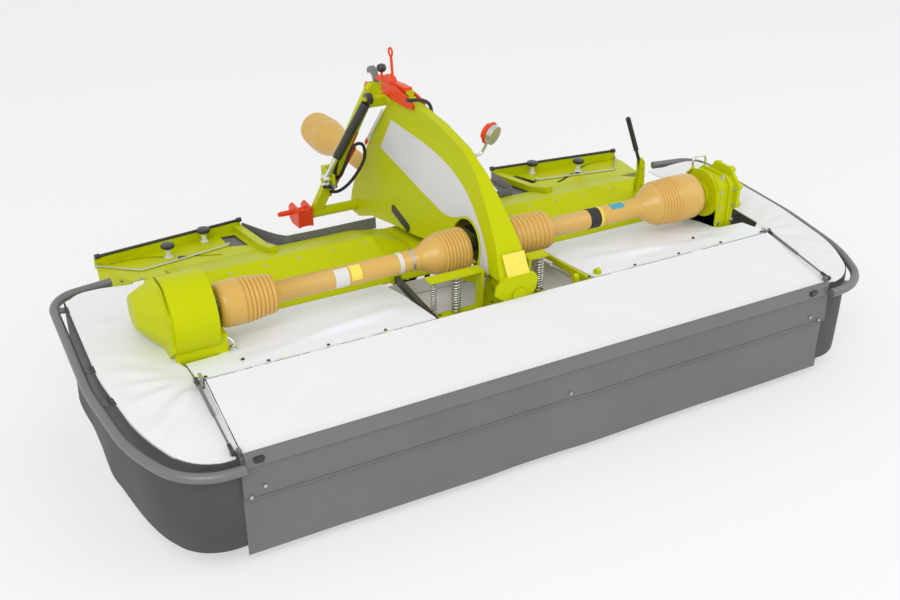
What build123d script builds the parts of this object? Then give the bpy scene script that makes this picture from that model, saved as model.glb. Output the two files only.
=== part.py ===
from build123d import *
import os
from math import atan2, cos, degrees, radians, sin

# Disc mower conditioner for a tractor's front linkage, in millimetres. x runs across the machine,
# y from the front curtain back to the tractor, z up from the floor. The pieces are drawn from the
# plane of the front beam, y = 0, and moved at the end so that the origin lies on the floor under
# the middle of the machine.

os.makedirs("parts", exist_ok=True)

# cutterbar, discs and skids
disc_count = 8
disc_pitch = 405
disc_y = 450
disc_radius = 150
disc_plate_z = 112
disc_plate_thickness = 6
hat_radius = 72
hat_height = 42
knife_tip_radius = 240
knife_inner_radius = 105
knife_width = 46
knife_thickness = 4
turret_radius = 62
turret_top_z = 105
hub_radius = 44
seat_gap = 0.3
bar_front_y = 360
bar_rear_y = 640
bar_bottom_z = 35
bar_top_z = 85
bar_end_overhang = 205
skid_width = 300
skid_toe_y = 262
skid_heel_y = 742

# conditioner rotor
rotor_y = 1085
rotor_z = 285
rotor_tip_radius = 210
rotor_tube_radius = 70
rotor_shaft_radius = 28
tine_columns = 8
tine_rows = 4
tine_thickness = 12
tine_lean = 10
strip_width = 44
strip_height = 12

# deck frame
frame_half_width = 1300
end_plate_x = frame_half_width - 70
rotor_half_width = end_plate_x - 35
end_plate_thickness = 10
rail_bottom_z = 420
rail_top_z = 500
front_beam_y = 350
front_beam_depth = 80
rear_beam_y = 1395
rear_beam_depth = 70
rail_rear_y = 1470
hinge_y = 402
hinge_z = 564
hinge_rod_radius = 8
hinge_ear_pitch = 423
knuckle_radius = 14
knuckle_play = 1

# hood, seen from the side, and the slope of the swath plates behind it
hood_base_y = 950
hood_base_z = 490
hood_crest_y = 1222
hood_crest_z = 606
hood_rear_y = 1500
hood_rear_z = 522
hood_thickness = 5
recess_half_width = 320
recess_floor_half_width = 130
recess_depth = 80
flap_front_y = 1506
flap_rear_y = 1700
flap_rear_z = 470
swath_inner_x = 742
swath_outer_x = frame_half_width + 200
swath_rear_y = 1915
swath_outer_rear_y = 1780
swath_fall = 0.152

# front cover
cover_overhang = 88
cover_half_width = frame_half_width + cover_overhang
beam_height = 86
beam_depth = 30
beam_top_z = 486
curtain_bottom_z = 40
curtain_thickness = 6
curtain_flap_z = 293
tarp_thickness = 5

# bumper hoops, side skirts and side tarps
hoop_radius = 20
hoop_front_z = 452
hoop_slope = 0.072
hoop_line = [(cover_half_width + 7, -35), (cover_half_width + 212, -35), (cover_half_width + 347, 250),
             (cover_half_width + 392, 650), (cover_half_width + 384, 1392), (cover_half_width + 112, 1432)]
hoop_bends = [245, 700, 1000, 135]
skirt_line = [(cover_half_width + 14, 0), (cover_half_width + 178, 0), (cover_half_width + 302, 262),
              (cover_half_width + 347, 655), (cover_half_width + 338, 1300)]
skirt_bends = [215, 700, 1000]
skirt_thickness = 6
skirt_bottom_z = 40
skirt_top_rise = 22

# cross drive shafts and the boxes at their ends
shaft_y = 740
shaft_z = 690
shaft_guard_radius = 45
shaft_core_radius = 21
drum_radius = 166
drum_inner_x = frame_half_width - 38
drum_outer_x = frame_half_width + 140
gearbox_inner_x = frame_half_width - 38
gearbox_outer_x = frame_half_width + 72

# boom
boom_foot_half_width = 80
boom_top_half_width = 22
boom_foot_z = 633
boom_top_z = 1060
boom_wall = 8
opening_y = 757
opening_z = 688
opening_radius = 124
pivot_y = 458
pivot_z = 582
pivot_pin_radius = 25
pivot_sleeve_radius = 48
pivot_play = 1

# input drive shaft
input_z = 640
input_guard_radius = 44
input_rear_y = 2720
input_cone_length = 390
input_cone_front_y = input_rear_y - input_cone_length
yoke_bore_radius = 17.5

# headstock
headstock_y = 1900
headstock_z = 470
crossbar_radius = 26
crossbar_half_width = 365
ram_pin_inset = 35
apex_y = 1800
apex_z = 1105
hitch_pin_radius = 14
hitch_pin_y = 1962
hitch_pin_reach = 58
hitch_gap = 56
top_bore_radius = 12.8
top_gap = 52

machine_front_y = -hoop_radius - 35
origin_y = (machine_front_y + input_rear_y) / 2
written = []


def vector(point):
    return Vector(*point)


def prism_yz(points, x0, x1):
    face = make_face(Polyline(*points, close=True))
    return extrude(Plane.YZ.offset(x0) * face, amount=x1 - x0)


def prism_xz(points, y0, y1):
    face = make_face(Polyline(*points, close=True))
    return extrude(Plane.XZ.offset(-y0) * face, amount=y0 - y1)


def prism_xy(points, z0, z1):
    face = make_face(Polyline(*points, close=True))
    return extrude(Plane.XY.offset(z0) * face, amount=z1 - z0)


def block(x0, x1, y0, y1, z0, z1):
    return Pos((x0 + x1) / 2, (y0 + y1) / 2, (z0 + z1) / 2) * Box(x1 - x0, y1 - y0, z1 - z0)


def rod(start, end, radius, bore=0):
    axis = vector(end) - vector(start)
    place = Plane(origin=vector(start), z_dir=axis)
    solid = Solid.make_cylinder(radius, axis.length, place)
    if bore:
        solid = solid - Solid.make_cylinder(bore, axis.length, place)
    return solid


def bar(start, end, width, depth, side=(0, 0, 1)):
    # a flat bar from start to end: its width lies across `side`, its depth along it
    axis = vector(end) - vector(start)
    across = axis.cross(vector(side))
    place = Plane(origin=vector(start), x_dir=across, z_dir=axis)
    return extrude(place * Rectangle(width, depth), amount=axis.length)


def sheet_outline(points, thickness):
    # the outline of a bent sheet: the points along its upper side, and back along its lower side
    lower = []
    last = len(points) - 1
    for i, (u, v) in enumerate(points):
        before = points[max(i - 1, 0)]
        after = points[min(i + 1, last)]
        first = atan2(v - before[1], u - before[0]) if i else atan2(after[1] - v, after[0] - u)
        second = atan2(after[1] - v, after[0] - u) if i < last else first
        middle = (first + second) / 2
        reach = thickness / cos((second - first) / 2)
        lower.append((u + reach * sin(middle), v - reach * cos(middle)))
    return list(points) + lower[::-1]


def revolve_x(points, x_sign=1):
    # points are (distance from the middle of the machine, radius) round the cross shafts' axis
    outline = [(points[0][0], 0)] + list(points) + [(points[-1][0], 0)]
    face = make_face(Polyline(*[(x_sign * x, r) for x, r in outline], close=True))
    turned = revolve(Plane.XZ * face, Axis.X, 360)
    return Pos(0, shaft_y, shaft_z) * turned


def revolve_y(points, x, z):
    # points are (y, radius) round an axis along y
    outline = [(points[0][0], 0)] + list(points) + [(points[-1][0], 0)]
    face = make_face(Polyline(*[(r, y) for y, r in outline], close=True))
    return Pos(x, 0, z) * revolve(face, Axis.Y, 360)


def ribs(start, end, start_radius, end_radius, count, depth):
    # the points of a bellows between two places on a guard
    points = []
    for i in range(count):
        share = i / count
        half = (i + 0.5) / count
        points.append((start + (end - start) * share,
                       start_radius + (end_radius - start_radius) * share - depth))
        points.append((start + (end - start) * half, start_radius + (end_radius - start_radius) * half))
    points.append((end, end_radius - depth))
    return points


def mirrored(shape):
    return mirror(shape, about=Plane.YZ)


def join(shapes):
    total = shapes[0]
    for shape in shapes[1:]:
        total = total + shape
    return total


def save(name, *shapes):
    solids = []
    for shape in shapes:
        moved = Pos(0, -origin_y, 0) * shape
        solids.extend(moved.solids())
    export_step(Compound(children=solids) if len(solids) > 1 else solids[0], "parts/" + name + ".step")
    written.append(name)


def disc_x(index):
    return (index - (disc_count - 1) / 2) * disc_pitch


# cutterbar: a gear bar with a turret under each disc and an arm to each end plate
bar_half = disc_x(disc_count - 1) + bar_end_overhang
bar_nose = 22
bar_section = [
    (bar_front_y, bar_bottom_z + bar_nose),
    (bar_front_y + bar_nose, bar_bottom_z),
    (bar_rear_y, bar_bottom_z),
    (bar_rear_y, bar_top_z),
    (bar_front_y + bar_nose, bar_top_z),
]
cutterbar = prism_yz(bar_section, -bar_half, bar_half)
for i in range(disc_count):
    turret = rod((disc_x(i), disc_y, bar_top_z - 1), (disc_x(i), disc_y, turret_top_z), turret_radius)
    cutterbar = cutterbar + turret
arm_width = 70
for side in (-1, 1):
    arm_x = side * (end_plate_x + end_plate_thickness / 2)
    arm = block(arm_x - arm_width / 2, arm_x + arm_width / 2, bar_rear_y - 5, bar_rear_y + 42,
                bar_bottom_z, bar_top_z)
    inner = side * end_plate_x
    outer = side * (end_plate_x + end_plate_thickness)
    slot = block(min(inner, outer), max(inner, outer), bar_rear_y, bar_rear_y + 60, 0, 200)
    cutterbar = cutterbar + (arm - slot)
save("cutterbar", cutterbar)

# skids: a shoe under each disc, turned up at the toe and the heel
skid_section = [
    (skid_toe_y, 66), (skid_toe_y + 8, 58), (skid_toe_y + 62, 6), (skid_toe_y + 84, 0),
    (skid_heel_y - 60, 0), (skid_heel_y, 16), (skid_heel_y, 26), (skid_heel_y - 62, bar_bottom_z),
    (bar_front_y + bar_nose, bar_bottom_z), (bar_front_y - 3, bar_bottom_z + bar_nose - 3),
    (bar_front_y - 3, 74), (skid_toe_y + 10, 78),
]
skids = []
for i in range(disc_count):
    skids.append(prism_yz(skid_section, disc_x(i) - skid_width / 2, disc_x(i) + skid_width / 2))
save("skids", *skids)

# mowing discs: an oval plate with a raised hat and a knife at each end
for i in range(disc_count):
    plate = extrude(Pos(0, 0, disc_plate_z) * Ellipse(disc_radius, disc_radius * 0.74),
                    amount=disc_plate_thickness)
    hat_base = disc_plate_z + disc_plate_thickness
    hat = loft([
        Pos(0, 0, hat_base - 1) * Circle(hat_radius * 1.35),
        Pos(0, 0, hat_base + hat_height * 0.6) * Circle(hat_radius),
    ])
    cap = loft([
        Pos(0, 0, hat_base + hat_height * 0.6) * Circle(hat_radius),
        Pos(0, 0, hat_base + hat_height) * Circle(hat_radius * 0.72),
    ])
    hub = rod((0, 0, turret_top_z + seat_gap), (0, 0, hat_base), hub_radius)
    disc = join([plate, hat, cap, hub])
    for side in (-1, 1):
        inner = side * knife_inner_radius
        tip = side * knife_tip_radius
        knife = block(min(inner, tip), max(inner, tip), -knife_width / 2, knife_width / 2,
                      disc_plate_z - knife_thickness, disc_plate_z + 0.5)
        screw = rod((side * (knife_inner_radius + 22), 0, disc_plate_z),
                    (side * (knife_inner_radius + 22), 0, hat_base + 6), 13)
        disc = join([disc, knife, screw])
    turn = 90 if i % 2 else 0
    save("disc_" + str(i + 1), Pos(disc_x(i), disc_y, 0) * Rot(0, 0, turn) * disc)

# conditioner rotor: a tube with four strips, and on each strip a row of V tines held by two screws each;
# every second row stands half a pitch further along, so that the V's of two rows overlap
rotor_tube = rod((-rotor_half_width, 0, 0), (rotor_half_width, 0, 0), rotor_tube_radius)
stub = rod((-end_plate_x - 130, 0, 0), (end_plate_x + end_plate_thickness + 20, 0, 0), rotor_shaft_radius)
strip_top = rotor_tube_radius + strip_height
tine_outline = [(-30, strip_top - 4), (30, strip_top - 4), (40, strip_top + 24), (84, rotor_tip_radius - 24),
                (74, rotor_tip_radius - 16), (58, rotor_tip_radius - 18), (0, strip_top + 22),
                (-58, rotor_tip_radius - 18), (-74, rotor_tip_radius - 16), (-84, rotor_tip_radius - 24),
                (-40, strip_top + 24)]
tine_pitch = 2 * rotor_half_width / (tine_columns + 0.5)
tine = prism_xz(tine_outline, -tine_thickness / 2, tine_thickness / 2)
tine = Pos(0, 0, strip_top) * Rot(tine_lean, 0, 0) * Pos(0, 0, -strip_top) * tine
tine_screws = join([rod((x, -14, strip_top - 1), (x, -14, strip_top + 6), 8) for x in (-20, 20)])
rows = []
for row in range(tine_rows):
    strip = block(-rotor_half_width + 10, rotor_half_width - 10, -strip_width / 2, strip_width / 2,
                  rotor_tube_radius - 6, strip_top)
    first_x = -rotor_half_width + tine_pitch * (0.5 + 0.5 * (row % 2))
    for column in range(tine_columns):
        strip = strip + Pos(first_x + column * tine_pitch, 0, 0) * (tine + tine_screws)
    strip = strip - rod((-rotor_half_width, 0, 0), (rotor_half_width, 0, 0), rotor_tube_radius + seat_gap)
    rows.append(Pos(0, rotor_y, rotor_z) * Rot(360 * row / tine_rows, 0, 0) * strip)
save("rotor", Pos(0, rotor_y, rotor_z) * (rotor_tube + stub), *rows)

# deck frame: front beam, side rails, rear beam, end plates and the ears of the cover's hinge
hood_line = [(hood_base_y, hood_base_z), (hood_crest_y, hood_crest_z), (hood_rear_y, hood_rear_z)]
front_beam = block(-frame_half_width, frame_half_width, front_beam_y, front_beam_y + front_beam_depth,
                   rail_bottom_z, rail_top_z)
rear_beam = block(-end_plate_x, end_plate_x, rear_beam_y, rear_beam_y + rear_beam_depth,
                  rail_bottom_z, rail_top_z - 10)
under_hood = sheet_outline(hood_line, hood_thickness + seat_gap)[:len(hood_line) - 1:-1]
end_outline = [(bar_rear_y, 48), (bar_rear_y, 96), (shaft_y, 190), (shaft_y, rail_top_z - 16),
               (hood_base_y, rail_top_z - 16)] + under_hood + [(hood_rear_y - 8, 300), (1270, 90), (1080, 60)]
frame_pieces = [front_beam, rear_beam]
for side in (-1, 1):
    inner = side * end_plate_x
    outer = side * (end_plate_x + end_plate_thickness)
    plate = prism_yz(end_outline, min(inner, outer), max(inner, outer))
    bore = rod((inner - side * 20, rotor_y, rotor_z), (outer + side * 20, rotor_y, rotor_z),
               rotor_shaft_radius + seat_gap)
    rail = block(min(outer, side * frame_half_width), max(outer, side * frame_half_width),
                 front_beam_y, rail_rear_y, rail_bottom_z, rail_top_z)
    frame_pieces.extend([plate - bore, rail])
ear_count = 6
ear_outline = [(front_beam_y + 28, rail_top_z - 1), (front_beam_y + 74, rail_top_z - 1),
               (hinge_y + 14, hinge_z),
               (hinge_y + 8, hinge_z + 13), (hinge_y - 8, hinge_z + 13), (hinge_y - 14, hinge_z)]
ear_places = [(i - (ear_count - 1) / 2) * hinge_ear_pitch for i in range(ear_count)]
for ear_x in ear_places:
    frame_pieces.append(prism_yz(ear_outline, ear_x - 5, ear_x + 5))
step_x = frame_half_width - 10
step_rear = 70
for side in (-1, 1):
    ear_x = side * (cover_half_width - 60)
    step = block(min(side * step_x, ear_x + side * 5), max(side * step_x, ear_x + side * 5),
                 front_beam_y + 30, front_beam_y + step_rear, rail_top_z - 40, rail_top_z)
    frame_pieces.extend([step, prism_yz(ear_outline, ear_x - 5, ear_x + 5)])
frame_pieces.append(rod((-cover_half_width + 40, hinge_y, hinge_z), (cover_half_width - 40, hinge_y, hinge_z),
                        hinge_rod_radius))
save("deck_frame", join(frame_pieces))

# hood over the rotor, in two halves with a recess between them for the boom
hood_outline = sheet_outline(hood_line, hood_thickness)
recess_line = [(hood_base_y, hood_base_z - 4), (hood_crest_y, hood_crest_z - recess_depth),
               (hood_rear_y, hood_rear_z - 30)]
hood_pieces = []
for side in (-1, 1):
    near = side * recess_half_width
    far = side * (end_plate_x + end_plate_thickness)
    hood_pieces.append(prism_yz(hood_outline, min(near, far), max(near, far)))
    cheek = [
        make_face(Plane.YZ.offset(near) * Polyline(*hood_outline, close=True)),
        make_face(Plane.YZ.offset(side * recess_floor_half_width)
                  * Polyline(*sheet_outline(recess_line, hood_thickness), close=True)),
    ]
    hood_pieces.append(loft(cheek))
hood_pieces.append(prism_yz(sheet_outline(recess_line, hood_thickness),
                            -recess_floor_half_width, recess_floor_half_width))
save("hood", join(hood_pieces))

# rubber flap behind the hood
flap_line = [(flap_front_y - 16, hood_rear_z - 2.6), (flap_front_y + 40, hood_rear_z - 24),
             (1610, 495), (flap_rear_y - 20, flap_rear_z), (flap_rear_y, 380), (flap_rear_y + 8, 250)]
flap_outline = sheet_outline(flap_line, 6)
flap_pieces = []
for side in (-1, 1):
    near = side * (recess_half_width + 5)
    far = side * (swath_inner_x - 12)
    flap_pieces.append(prism_yz(flap_outline, min(near, far), max(near, far)))
save("rear_flap", *flap_pieces)

# swath plates: green plates behind the hood in the same slope, with curved slots for the boards' clamps,
# a window beside the inner rib, a rear flange and an outer wall
swath_thickness = 6
rib_width = 40
rib_height = 28
rear_flange_height = 42
outer_wall_depth = 104


def swath_height(y):
    return hood_rear_z - swath_fall * (y - hood_rear_y)


def hood_height(y):
    return hood_crest_z - (hood_crest_z - hood_rear_z) * (y - hood_crest_y) / (hood_rear_y - hood_crest_y)


swath_front_y = hood_rear_y + seat_gap
wing_front_y = 1440
wing_outer_x = swath_outer_x - 95
board_pivot_x = end_plate_x - 50
board_pivot_y = 1535
swath_plan = [(swath_inner_x, swath_front_y), (swath_inner_x, swath_rear_y),
              (swath_outer_x, swath_outer_rear_y),
              (swath_outer_x, swath_outer_rear_y - 60), (wing_outer_x, wing_front_y),
              (end_plate_x + 12, wing_front_y),
              (end_plate_x + 12, swath_front_y)]
slope_line = [(wing_front_y - 20, swath_height(wing_front_y - 20)),
              (swath_rear_y + 20, swath_height(swath_rear_y + 20))]
slab = prism_yz(sheet_outline(slope_line, swath_thickness), swath_inner_x - 20, swath_outer_x + 20)
swath_plate = prism_xy(swath_plan, 300, 700) & slab
slot_width = 20
slot_lines = [[(250, 227), (180, 237), (110, 225), (45, 190), (5, 155)],
              [(-45, 120), (-100, 87), (-160, 45), (-225, 10)]]
for line in slot_lines:
    slot_points = [(board_pivot_x + x, board_pivot_y + y) for x, y in line]
    swath_plate = swath_plate - prism_xy(sheet_outline(slot_points, slot_width), 300, 700)
window = [(swath_inner_x + 56, 1610), (swath_inner_x + 142, 1650), (swath_inner_x + 128, 1850),
          (swath_inner_x + 56, 1840)]
swath_plate = swath_plate - prism_xy(window, 300, 700)
rib_front_y = 1353
rib_outline = [
    (rib_front_y, hood_height(rib_front_y) + seat_gap), (hood_rear_y, hood_rear_z + seat_gap),
    (swath_front_y, hood_rear_z - 3), (swath_rear_y, swath_height(swath_rear_y) - 3),
    (swath_rear_y, swath_height(swath_rear_y) + rib_height), (hood_rear_y, hood_rear_z + rib_height),
    (rib_front_y, hood_height(rib_front_y) + rib_height),
]
rib = prism_yz(rib_outline, swath_inner_x, swath_inner_x + rib_width)
flange_middle = (rear_flange_height - swath_thickness) / 2
rear_flange = bar((swath_inner_x, swath_rear_y - 3, swath_height(swath_rear_y) + flange_middle),
                  (swath_outer_x, swath_outer_rear_y - 3, swath_height(swath_outer_rear_y) + flange_middle),
                  6, rear_flange_height + swath_thickness)
wall_start = (wing_outer_x - 3, wing_front_y, swath_height(wing_front_y) - 2 - outer_wall_depth / 2)
wall_end = (swath_outer_x - 3, swath_outer_rear_y - 60,
            swath_height(swath_outer_rear_y - 60) - 2 - outer_wall_depth / 2)
outer_wall = bar(wall_start, wall_end, 5, outer_wall_depth)
swath = join([swath_plate, rib, rear_flange, outer_wall])
save("swath_plate_right", swath)
save("swath_plate_left", mirrored(swath))

# swath boards: upright plates under the swath plates, each turning on a post at its front
board_angle = 100
board_length = 340
board_top_z = 430
board_bottom_z = 130
post_radius = 15
post_collar = 24
board_line = [(0, 0), (board_length * 0.5, 0), (board_length, 26)]
board = prism_xy(sheet_outline(board_line, 6), board_bottom_z, board_top_z)
board_tube = rod((0, 0, board_bottom_z), (0, 0, board_top_z), post_collar, post_radius + pivot_play)
board_web = block(post_radius + 3, post_collar + 12, -6, 0, board_bottom_z, board_top_z)
board_body = (board + board_web) - rod((0, 0, board_bottom_z - 5), (0, 0, board_top_z + 5),
                                       post_radius + pivot_play)
board_body = board_body + board_tube
board_right = Pos(board_pivot_x, board_pivot_y, 0) * Rot(0, 0, board_angle) * board_body
save("swath_board_right", board_right)
save("swath_board_left", mirrored(board_right))

# posts of the swath boards: a pin hung from a bracket on the end plate
post_top = swath_height(board_pivot_y) - swath_thickness - 4
post = rod((board_pivot_x, board_pivot_y, board_bottom_z - 14),
           (board_pivot_x, board_pivot_y, post_top - 30), post_radius)
foot = rod((board_pivot_x, board_pivot_y, board_bottom_z - 22),
           (board_pivot_x, board_pivot_y, board_bottom_z - 12), 26)
bracket = block(board_pivot_x - 24, end_plate_x - 2, rear_beam_y + rear_beam_depth, board_pivot_y + 24,
                board_top_z + 14,
                board_top_z + 34)
post_piece = join([post, foot, bracket])
save("board_posts", post_piece, mirrored(post_piece))

# clamp posts with knobs, bent rods and a handle tube on the swath plates
clamp_seat = prism_yz([(wing_front_y - 60, 300), (swath_rear_y + 60, 300),
                       (swath_rear_y + 60, swath_height(swath_rear_y + 60) + seat_gap),
                       (wing_front_y - 60, swath_height(wing_front_y - 60) + seat_gap)],
                      swath_inner_x - 60, swath_outer_x + 60)
clamp_set = []
for x, y, height, radius in [(-7, 145, 44, 33), (-223, 285, 44, 33), (-49, 85, 8, 17)]:
    x = board_pivot_x + x
    y = board_pivot_y + y
    top = swath_height(y)
    clamp_set.append(join([
        rod((x, y, top - 12), (x, y, top + height), radius * 0.45),
        rod((x, y, top + height - 1), (x, y, top + height + radius * 0.45), radius * 0.7),
        rod((x, y, top + height + radius * 0.4), (x, y, top + height + radius), radius),
    ]) - clamp_seat)
guide_radius = 5
guide_line = [(swath_outer_x - 10, swath_outer_rear_y - 18), (board_pivot_x + 154, board_pivot_y + 17),
              (swath_inner_x + 142, 1662)]
guide_points = [(x, y, swath_height(y) + guide_radius - 1) for x, y in guide_line]
guide = join([rod(guide_points[0], guide_points[1], guide_radius),
              rod(guide_points[1], guide_points[2], guide_radius)])
guide = join([guide] + [rod((x, y, z - 4), (x, y, z + 7), 9) for x, y, z in guide_points]) - clamp_seat
handle_radius = 8
handle_rise = rear_flange_height + handle_radius + seat_gap
handle_start = (swath_inner_x + 4, swath_rear_y - 3, swath_height(swath_rear_y) + handle_rise)
handle_end = (swath_outer_x - 4, swath_outer_rear_y - 3, swath_height(swath_outer_rear_y) + handle_rise)
handle = rod(handle_start, handle_end, handle_radius)
save("swath_clamps", handle, guide, *clamp_set, mirrored(handle), mirrored(guide),
     *[mirrored(p) for p in clamp_set])

# drive housing on the left end: a drum round the shaft's axis and a leg down to the rotor
drum = rod((-drum_outer_x, shaft_y, shaft_z), (-drum_inner_x, shaft_y, shaft_z), drum_radius)
drum_base = block(-drum_outer_x, -end_plate_x, shaft_y - 128, shaft_y + 128, rail_top_z, shaft_z - 60)
cover_points = []
for i in range(8):
    angle = radians(22.5 + 45 * i)
    cover_points.append((shaft_y + 40 + 205 * cos(angle), shaft_z - 15 + 172 * sin(angle)))
side_cover = prism_yz(cover_points, -drum_outer_x - 14, -drum_outer_x)
casting_depth = 90
casting_faces = []
for x, y, z, radius in [(drum_outer_x + 6, shaft_y + 12, shaft_z + 16, 150),
                        (drum_outer_x + casting_depth, shaft_y + 145, shaft_z - 18, 70)]:
    corners = [(y + radius * cos(radians(22.5 + 45 * i)),
                z + radius * sin(radians(22.5 + 45 * i))) for i in range(8)]
    casting_faces.append(make_face(Plane.YZ.offset(-x) * Polyline(*corners, close=True)))
casting = loft(casting_faces)
leg_outline = [(shaft_y - 60, shaft_z), (shaft_y + 130, shaft_z - 20), (rotor_y + 88, rotor_z + 40),
               (rotor_y + 70, rotor_z - 70), (rotor_y - 50, rotor_z - 86), (rotor_y - 96, rotor_z - 10)]
leg = prism_yz(leg_outline, -drum_outer_x + 70, -frame_half_width - 2)
leg = leg - rod((-frame_half_width - 40, rotor_y, rotor_z), (-frame_half_width, rotor_y, rotor_z),
                rotor_shaft_radius + 2)
leg = leg - rod((-drum_outer_x + 75, rotor_y, rotor_z), (-frame_half_width, rotor_y, rotor_z),
                rotor_shaft_radius + 2)
collar = rod((-drum_inner_x, shaft_y, shaft_z), (-drum_inner_x + 16, shaft_y, shaft_z), 62)
save("drive_housing", join([drum, drum_base, side_cover, casting, leg, collar]))

# angle gearbox on the right end with its bolted flanges and the column down to the cutterbar
gear_body = block(gearbox_inner_x, gearbox_outer_x, shaft_y - 105, shaft_y + 125, rail_top_z, shaft_z + 88)
gear_body = chamfer(gear_body.edges().filter_by(Axis.X).group_by(Axis.Z)[-1], 34)
flange_radius = 126
flange = rod((gearbox_inner_x - 12, shaft_y, shaft_z), (gearbox_inner_x, shaft_y, shaft_z), 118)
outer_flange = rod((gearbox_outer_x, shaft_y, shaft_z), (gearbox_outer_x + 18, shaft_y, shaft_z),
                   flange_radius)
gear_pieces = [gear_body, flange, outer_flange]
for i in range(8):
    angle = radians(22.5 + 45 * i)
    lug_y = shaft_y + (flange_radius - 8) * cos(angle)
    lug_z = shaft_z + (flange_radius - 8) * sin(angle)
    gear_pieces.append(rod((gearbox_outer_x, lug_y, lug_z), (gearbox_outer_x + 24, lug_y, lug_z), 21))
    gear_pieces.append(rod((gearbox_outer_x + 23, lug_y, lug_z), (gearbox_outer_x + 32, lug_y, lug_z), 11))
column = rod((gearbox_outer_x - 25, shaft_y - 10, bar_top_z - 5),
             (gearbox_outer_x - 25, shaft_y - 10, rail_top_z + 10), 42)
column_foot = block(gearbox_inner_x + 60, gearbox_outer_x + 20, bar_rear_y, shaft_y + 36,
                    bar_bottom_z + 8, bar_top_z)
gear_pieces.extend([column, column_foot])
gear_pieces.append(rod((gearbox_inner_x - 30, shaft_y, shaft_z), (gearbox_inner_x, shaft_y, shaft_z), 60))
save("angle_gearbox", join(gear_pieces))

# guards of the two cross shafts: a cone at each end of a tube, each with a bellows
left_end = drum_inner_x - 36
right_end = gearbox_inner_x - 66
left_guard = [(92, 52), (92, 88), (104, 98)] + ribs(110, 224, 101, 97, 5, 6) + [
    (236, 92), (300, 62), (312, 52), (330, shaft_guard_radius + 4), (344, shaft_guard_radius),
    (left_end - 248, shaft_guard_radius), (left_end - 242, 70)] + ribs(left_end - 238, left_end - 106, 82,
                                                                       98, 6, 6) + [
    (left_end - 90, 96), (left_end - 26, 94), (left_end, 86), (left_end, 58)]
right_guard = [(92, 52), (92, 84), (104, 94)] + ribs(116, 330, 96, 88, 7, 5) + [
    (340, 70), (350, shaft_guard_radius), (right_end - 330, shaft_guard_radius), (right_end - 310, 66),
    (right_end - 276, 84), (right_end - 250, 100)] + ribs(right_end - 242, right_end - 146, 106, 112, 5,
                                                          6) + [
    (right_end - 132, 112), (right_end - 36, 110), (right_end, 100), (right_end, 64)]
mouth = 24
core_start = 122
for name, side, guard, seat_x in [("cross_shaft_left", -1, left_guard, drum_inner_x - 16),
                                  ("cross_shaft_right", 1, right_guard, gearbox_inner_x - 30)]:
    end_x = guard[-1][0]
    shell = revolve_x(guard, side)
    hollow = rod((side * (end_x - mouth), shaft_y, shaft_z), (side * (end_x + 5), shaft_y, shaft_z), 54)
    inner_hollow = rod((side * 85, shaft_y, shaft_z), (side * core_start, shaft_y, shaft_z), 48)
    core = rod((side * (core_start - 1), shaft_y, shaft_z), (side * (seat_x - seat_gap), shaft_y, shaft_z),
               shaft_core_radius)
    save(name, (shell - hollow - inner_hollow) + core)

# front cover: beam, frame bars with hinge knuckles, tarp panel, curtain
beam_bottom_z = beam_top_z - beam_height
beam = block(-cover_half_width, cover_half_width, 0, beam_depth, beam_bottom_z, beam_top_z)
beam_hollow = block(-cover_half_width + 4, cover_half_width - 4, 4, beam_depth - 4, beam_bottom_z + 4,
                    beam_top_z - 4)
cover_pieces = [beam - beam_hollow]
cover_arm_places = [-cover_half_width + 24, cover_half_width - 24]
cover_arm_places = cover_arm_places + [ear_x + (30 if ear_x > 0 else -30) for ear_x in ear_places]
for arm_x in cover_arm_places:
    knuckle = rod((arm_x - 18, hinge_y, hinge_z), (arm_x + 18, hinge_y, hinge_z), knuckle_radius,
                  hinge_rod_radius + knuckle_play)
    arm = prism_yz([(beam_depth - 1, beam_top_z - 26), (beam_depth - 1, beam_top_z - 6),
                    (hinge_y - 11, hinge_z + 2), (hinge_y - 11, hinge_z - 6)], arm_x - 18, arm_x + 18)
    cover_pieces.extend([knuckle, arm])

tarp_line = [(2, beam_top_z + tarp_thickness), (beam_depth, beam_top_z + tarp_thickness),
             (hinge_y - 20, hinge_z + knuckle_radius - 3)]
cover_tarp = prism_yz(sheet_outline(tarp_line, tarp_thickness - 0.5), -cover_half_width, cover_half_width)
save("cover_tarp", cover_tarp)

curtain = block(-cover_half_width - 6, cover_half_width + 6, -curtain_thickness, 0, curtain_bottom_z,
                beam_top_z - 4)
hem = block(-cover_half_width - 6, cover_half_width + 6, -curtain_thickness - 4, -curtain_thickness,
            curtain_flap_z,
            beam_bottom_z + 8)
save("front_curtain", curtain + hem)

# cover struts: a tube on a post beside the hinge and a rod down to the beam's end
strut_x = cover_half_width + 32
strut_top = (strut_x, 424, 572)
strut_low = (strut_x, 16, 497)
strut_axis = (vector(strut_low) - vector(strut_top)).normalized()
strut_length = (vector(strut_low) - vector(strut_top)).length
tube_length = strut_length * 0.5


def strut_point(distance):
    return tuple(vector(strut_top) + strut_axis * distance)


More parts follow.
